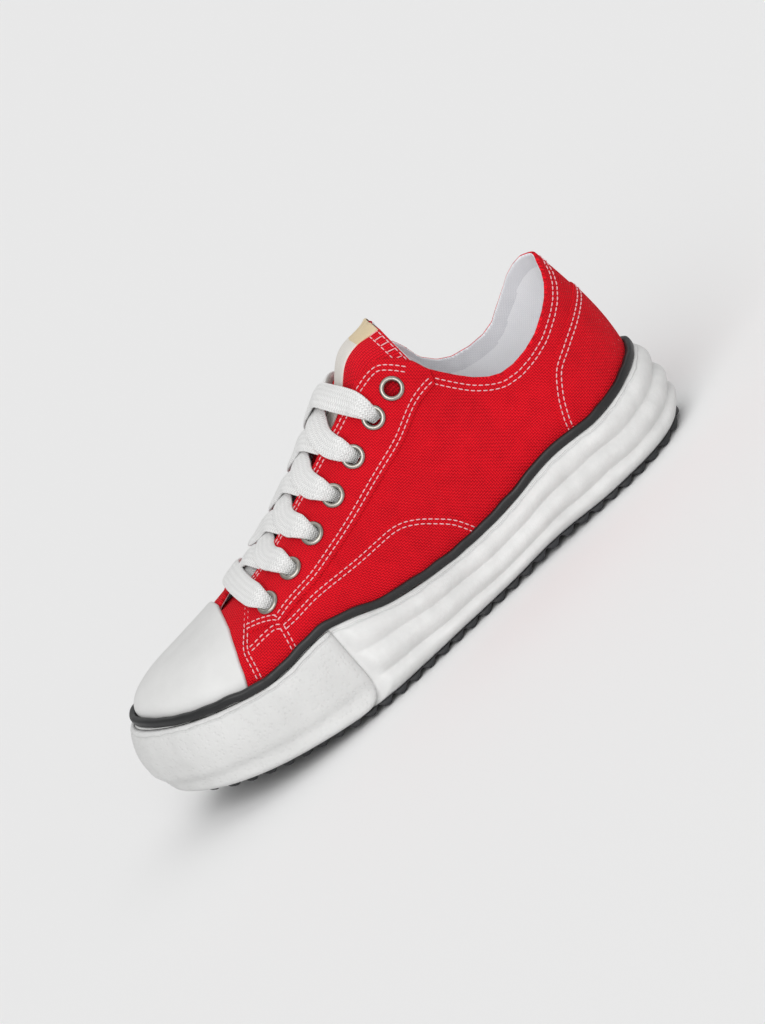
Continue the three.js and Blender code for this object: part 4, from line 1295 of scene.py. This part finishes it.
# Past the hook, the path by reach on the strand's own side. A step is the part done of the way up
# to the next eyelet: the strand first sags towards the toe, then climbs.
OVER_STEP = [
    (0.34, -0.12), (0.28, -0.20), (0.22, -0.22), (0.16, -0.18), (0.10, -0.10), (0.04, -0.02),
    (-0.03, 0.10), (-0.10, 0.30), (-0.17, 0.53), (-0.25, 0.76), (-0.33, 0.92), (-0.40, 1.0),
]
BACK_STEP = [
    (0.34, -0.05), (0.28, -0.08), (0.22, -0.10), (0.16, -0.05), (0.10, 0.08), (0.06, 0.22), (0.0, 0.42),
    (-0.05, 0.50), (-0.10, 0.56), (-0.17, 0.65), (-0.25, 0.78), (-0.33, 0.92), (-0.40, 1.0),
]
# Lift: the outer side's strand dips under the inner side's at the middle, and both dive under the
# far edge. The top pair ends on the canvas instead, and goes down into its eyelets.
OVER_LIFT = [
    (0.22, 3.0), (0.16, 2.6), (0.10, 2.0), (0.05, 1.6), (0.0, 1.1), (-0.05, 0.1), (-0.10, -1.2),
    (-0.17, -3.2), (-0.25, -4.1), (-0.33, -4.2),
]
BACK_LIFT = [
    (0.22, 3.1), (0.16, 3.0), (0.10, 2.9), (0.05, 2.9), (0.0, 2.8), (-0.05, 2.2), (-0.10, 1.2),
    (-0.14, 0.2), (-0.18, -1.3), (-0.22, -2.8), (-0.26, -3.8), (-0.33, -4.2),
]
TOP_OVER_LIFT = [
    (0.22, 3.0), (0.16, 2.6), (0.10, 2.2), (0.05, 1.9), (0.0, 1.3), (-0.06, 0.9), (-0.12, 1.0),
    (-0.20, 2.2), (-0.25, 3.0),
]
TOP_BACK_LIFT = [
    (0.22, 3.2), (0.16, 3.4), (0.10, 3.9), (0.05, 4.3), (0.0, 4.5), (-0.06, 4.4), (-0.12, 4.0),
    (-0.20, 3.6),
]
# The lowest pair comes up out of the shoe beside the bar, so both its ends are under the edges.
LOW_OVER_LIFT = [
    (0.33, -4.2), (0.22, -3.8), (0.12, -1.6), (0.05, -0.2), (0.0, 0.0), (-0.06, -0.6), (-0.15, -2.8),
    (-0.25, -4.1), (-0.33, -4.2),
]
LOW_BACK_LIFT = [
    (0.33, -4.2), (0.24, -3.2), (0.16, -0.2), (0.10, 1.6), (0.05, 2.6), (0.0, 2.9), (-0.06, 2.7),
    (-0.11, 1.8), (-0.16, 0.4), (-0.22, -2.2), (-0.28, -3.8), (-0.33, -4.2),
]
# Bank: how far a strand leans, in radians, its toe edge up, where it rests on the one below.
OVER_BANK = [(0.30, 0.0), (0.20, 0.12), (0.12, 0.32), (0.04, 0.32), (-0.04, 0.15), (-0.12, 0.0)]
BACK_BANK = [(0.06, 0.0), (-0.02, 0.15), (-0.08, 0.32), (-0.16, 0.25), (-0.24, 0.0)]
LIFTS = {0: (LOW_OVER_LIFT, LOW_BACK_LIFT), 4: (TOP_OVER_LIFT, TOP_BACK_LIFT)}


def crossing_strand(level, sign, seed):
    """The strand from one side's eyelet to the other side's next one up. t = the near eyelet's
    reach less the reach here; knots given by reach turn into knots of t the same way."""
    near, far = EYELETS[level], EYELETS[level + 1]
    begin, end = 0.32 if level == 0 else near[1], far[1] if level == 4 else 0.32
    total = begin + end
    bunch = np.linspace(0, 0.1, 30)[:-1]
    t = np.concatenate([bunch, np.linspace(0.1, total - 0.1, 84), total - bunch[::-1]])
    step, bank = (OVER_STEP, OVER_BANK) if sign > 0 else (BACK_STEP, BACK_BANK)
    lift = LIFTS.get(level, (OVER_LIFT, BACK_LIFT))[sign < 0]
    first = [] if level == 0 else HOOK
    last = [(total - at, *rest) for at, *rest in HOOK[::-1]] if level == 4 else []
    path = lambda knots: [(begin - reach, value) for reach, value in knots]
    pick = lambda knots, k: [(knot[0], knot[k]) for knot in knots]
    column = lambda k, middle: pick(first, k) + middle + pick(last, k)
    climb = [(0.0, 0.0)] + path(step) if first else path(step[1:])
    climb = climb + [(total, 1.0)] if last else climb
    rib = near[0] + (far[0] - near[0]) * ease(t, climb)
    rise = ease(t, column(1, path(lift)))
    width, thick = (
        ease(t, column(k, [(0.2, flat), (total - 0.2, flat)])) for k, flat in ((2, 12.4), (3, 2.6)))
    lean = ease(np.clip(t, begin - bank[0][0], begin - bank[-1][0]), path(bank))
    return strand(begin - t, rise, rib, sign, width, thick, lean, seed)


# %% Laces
def build_laces():
    """The bar, then five crossings: at the middle the inner side's strands lie on top."""
    rib, reach = EYELETS[0]
    t = np.linspace(0, 2 * reach, 170)
    near = np.minimum(t, 2 * reach - t)
    flat = ([(0.3, 2.8), (0.6, 2.9)], [(0.9, 12.0)], [(0.9, 2.8)])
    lift, width, thick = (ease(near, [(knot[0], knot[k + 1]) for knot in HOOK] + flat[k]) for k in range(3))
    bow = rib + 0.17 * (1 - ((reach - t) / reach) ** 2)
    points, faces, uv = strand(reach - t, lift, bow, 1, width, thick, 0 * t, 40)
    make_piece("lace_bar_braided", points, faces, [lace_cotton], ["lace_bar"], "lace_cotton", uv=uv)
    for level in range(1, 6):
        pair = [crossing_strand(level - 1, 1, 50 + level), crossing_strand(level - 1, -1, 60 + level)]
        make_piece(f"lace_crossing_{level}_braided", *join([one[:2] for one in pair]), [lace_cotton],
                   [f"lace_crossing_{level}"], "lace_cotton", uv=np.concatenate([one[2] for one in pair]))


build_laces()

# %% [markdown]
# ## The tread
# The black tread is moulded with zigzag ripples, 8.8 mm apart. From the side they are a row of
# blunt teeth, so the wave is a cosine sharpened by a power, its phase bent across the sole into a
# zigzag, and the edge swells a little at each tooth.

# %% Tread
LUG_PITCH = 8.8
TREAD_COLUMNS = 1440


def tread_edge(turn):
    """Outline of the tread: the wall's foot, drawn in by half a millimetre, more under toe and heel."""
    x = rib_value(turn, "x")
    inset = 0.5 + 2.6 * smooth(x, 52, 86) + 1.6 * smooth(-x, 125, 145)
    return rim_offset(turn, wall_offset(turn, 0.0, 0.0) - inset)


def build_tread():
    """Rows run from the middle line out to the edge along the bottom, then up the side and back in
    along the top. Groove depth = 2.7 mm x (1/2 + cos/2)^1.7 of the distance along the shoe plus
    2.2 mm x the zigzag's triangle wave across it."""
    turns = turns_round(TREAD_COLUMNS)
    edge = tread_edge(turns)
    heel, toe = edge[..., 0].min(), edge[..., 0].max()
    s = np.concatenate([np.linspace(0, 0.97, 26), [0.985, 1.0]])[:, None]
    x, y = np.repeat(edge[..., 0], len(s), 0), edge[..., 1] * s
    zigzag = 2.2 * (2 * np.abs(np.mod(y / 11, 2) - 1) - 1)
    along = x - heel - 2.4 + zigzag * (1 - smooth(s, 0.9, 1.0))
    wave = 0.5 + 0.5 * np.cos(2 * math.pi * along / LUG_PITCH)
    ends = smooth(x, heel, heel + 4) * (1 - smooth(x, toe - 5, toe - 1))
    lift = 2.7 * wave ** 1.7 * ends + 0.35 * smooth(s, 0.97, 1.0)
    bottom = stack(x, y, tread_height(x) + lift)
    swell = rim_out(turns) * (0.7 * (1 - wave[-1:]) * ends[-1:])[..., None]
    side = np.concatenate([edge + swell * k for k in (0.8, 1.0, 0.7)])
    rise = np.maximum([[0.7], [1.6], [2.7]], lift[-1:] + np.array([[0.15], [0.3], [0.45]]))
    side[..., 2] = tread_height(side[..., 0]) + rise
    top = narrowed(edge, (1.0, 0.5, 0.0))
    top[..., 2] = tread_height(top[..., 0]) + OUTSOLE_THICKNESS - 0.1
    rows = np.concatenate([bottom, side, top])
    make_piece("outsole_tread", rows, tube_faces(rows), [tread_rubber], ["outsole"], "black_rubber",
               weld=1e-6)


build_tread()

# %% [markdown]
# ## Floor and light
# The floor is one large pale sheet, so the far edge never shows. A pale sky gives the even fill
# of a light tent, and wide suns shape the form: key and fill from the outer side, and a softer one
# from above. A sun lights the whole sheet evenly, where a near lamp would leave a bright pool.

# %% Floor and lights
def build_floor():
    """A flat sheet at the ground, 16 m square, in matt studio paper."""
    material, shader = new_material("pale studio paper, matt", Roughness=0.95)
    place = add_node(material, "TexCoord", output="Object")
    fibre = add_node(material, "TexNoise", {"Vector": place, "Scale": 900.0, "Detail": 2.0})
    tone = add_node(material, "Mix", {0: fibre, 6: "#e8e8e8", 7: "#eaeaea"}, output=2, data_type="RGBA")
    fill_sockets(shader, {"Base Color": tone})
    mesh = bpy.data.meshes.new("floor")
    mesh.from_pydata([(-8, -8, 0), (8, -8, 0), (8, 8, 0), (-8, 8, 0)], [], [(0, 1, 2, 3)])
    mesh.materials.append(material)
    link_object("floor", mesh)


def add_sun(name, towards, spread, strength):
    """A far, wide light. towards is the way from the shoe to it; spread is how wide it looks, in
    degrees, and makes the shadow soft."""
    lamp = bpy.data.lights.new(name, "SUN")
    lamp.angle, lamp.energy = math.radians(spread), strength
    back = unit(np.array(towards, float))
    right = unit(np.cross([0, 0, 1.0], back))
    link_object(name, lamp, (right, np.cross(back, right), back))
    print(f"sun {name}: {strength} W/m2, {spread} degrees wide")


bpy.context.scene.view_settings.view_transform = "Standard"
world = bpy.data.worlds.new("light tent")
bpy.context.scene.world = world
world.use_nodes = True
fill_sockets(world.node_tree.nodes["Background"], {"Color": "#ffffff", "Strength": 0.5})
build_floor()
add_sun("key", (0.25, 0.75, 0.62), 55, 1.4)
add_sun("fill", (0.1, 1.0, 0.35), 50, 0.6)
add_sun("top", (-0.35, -0.25, 0.9), 70, 0.55)
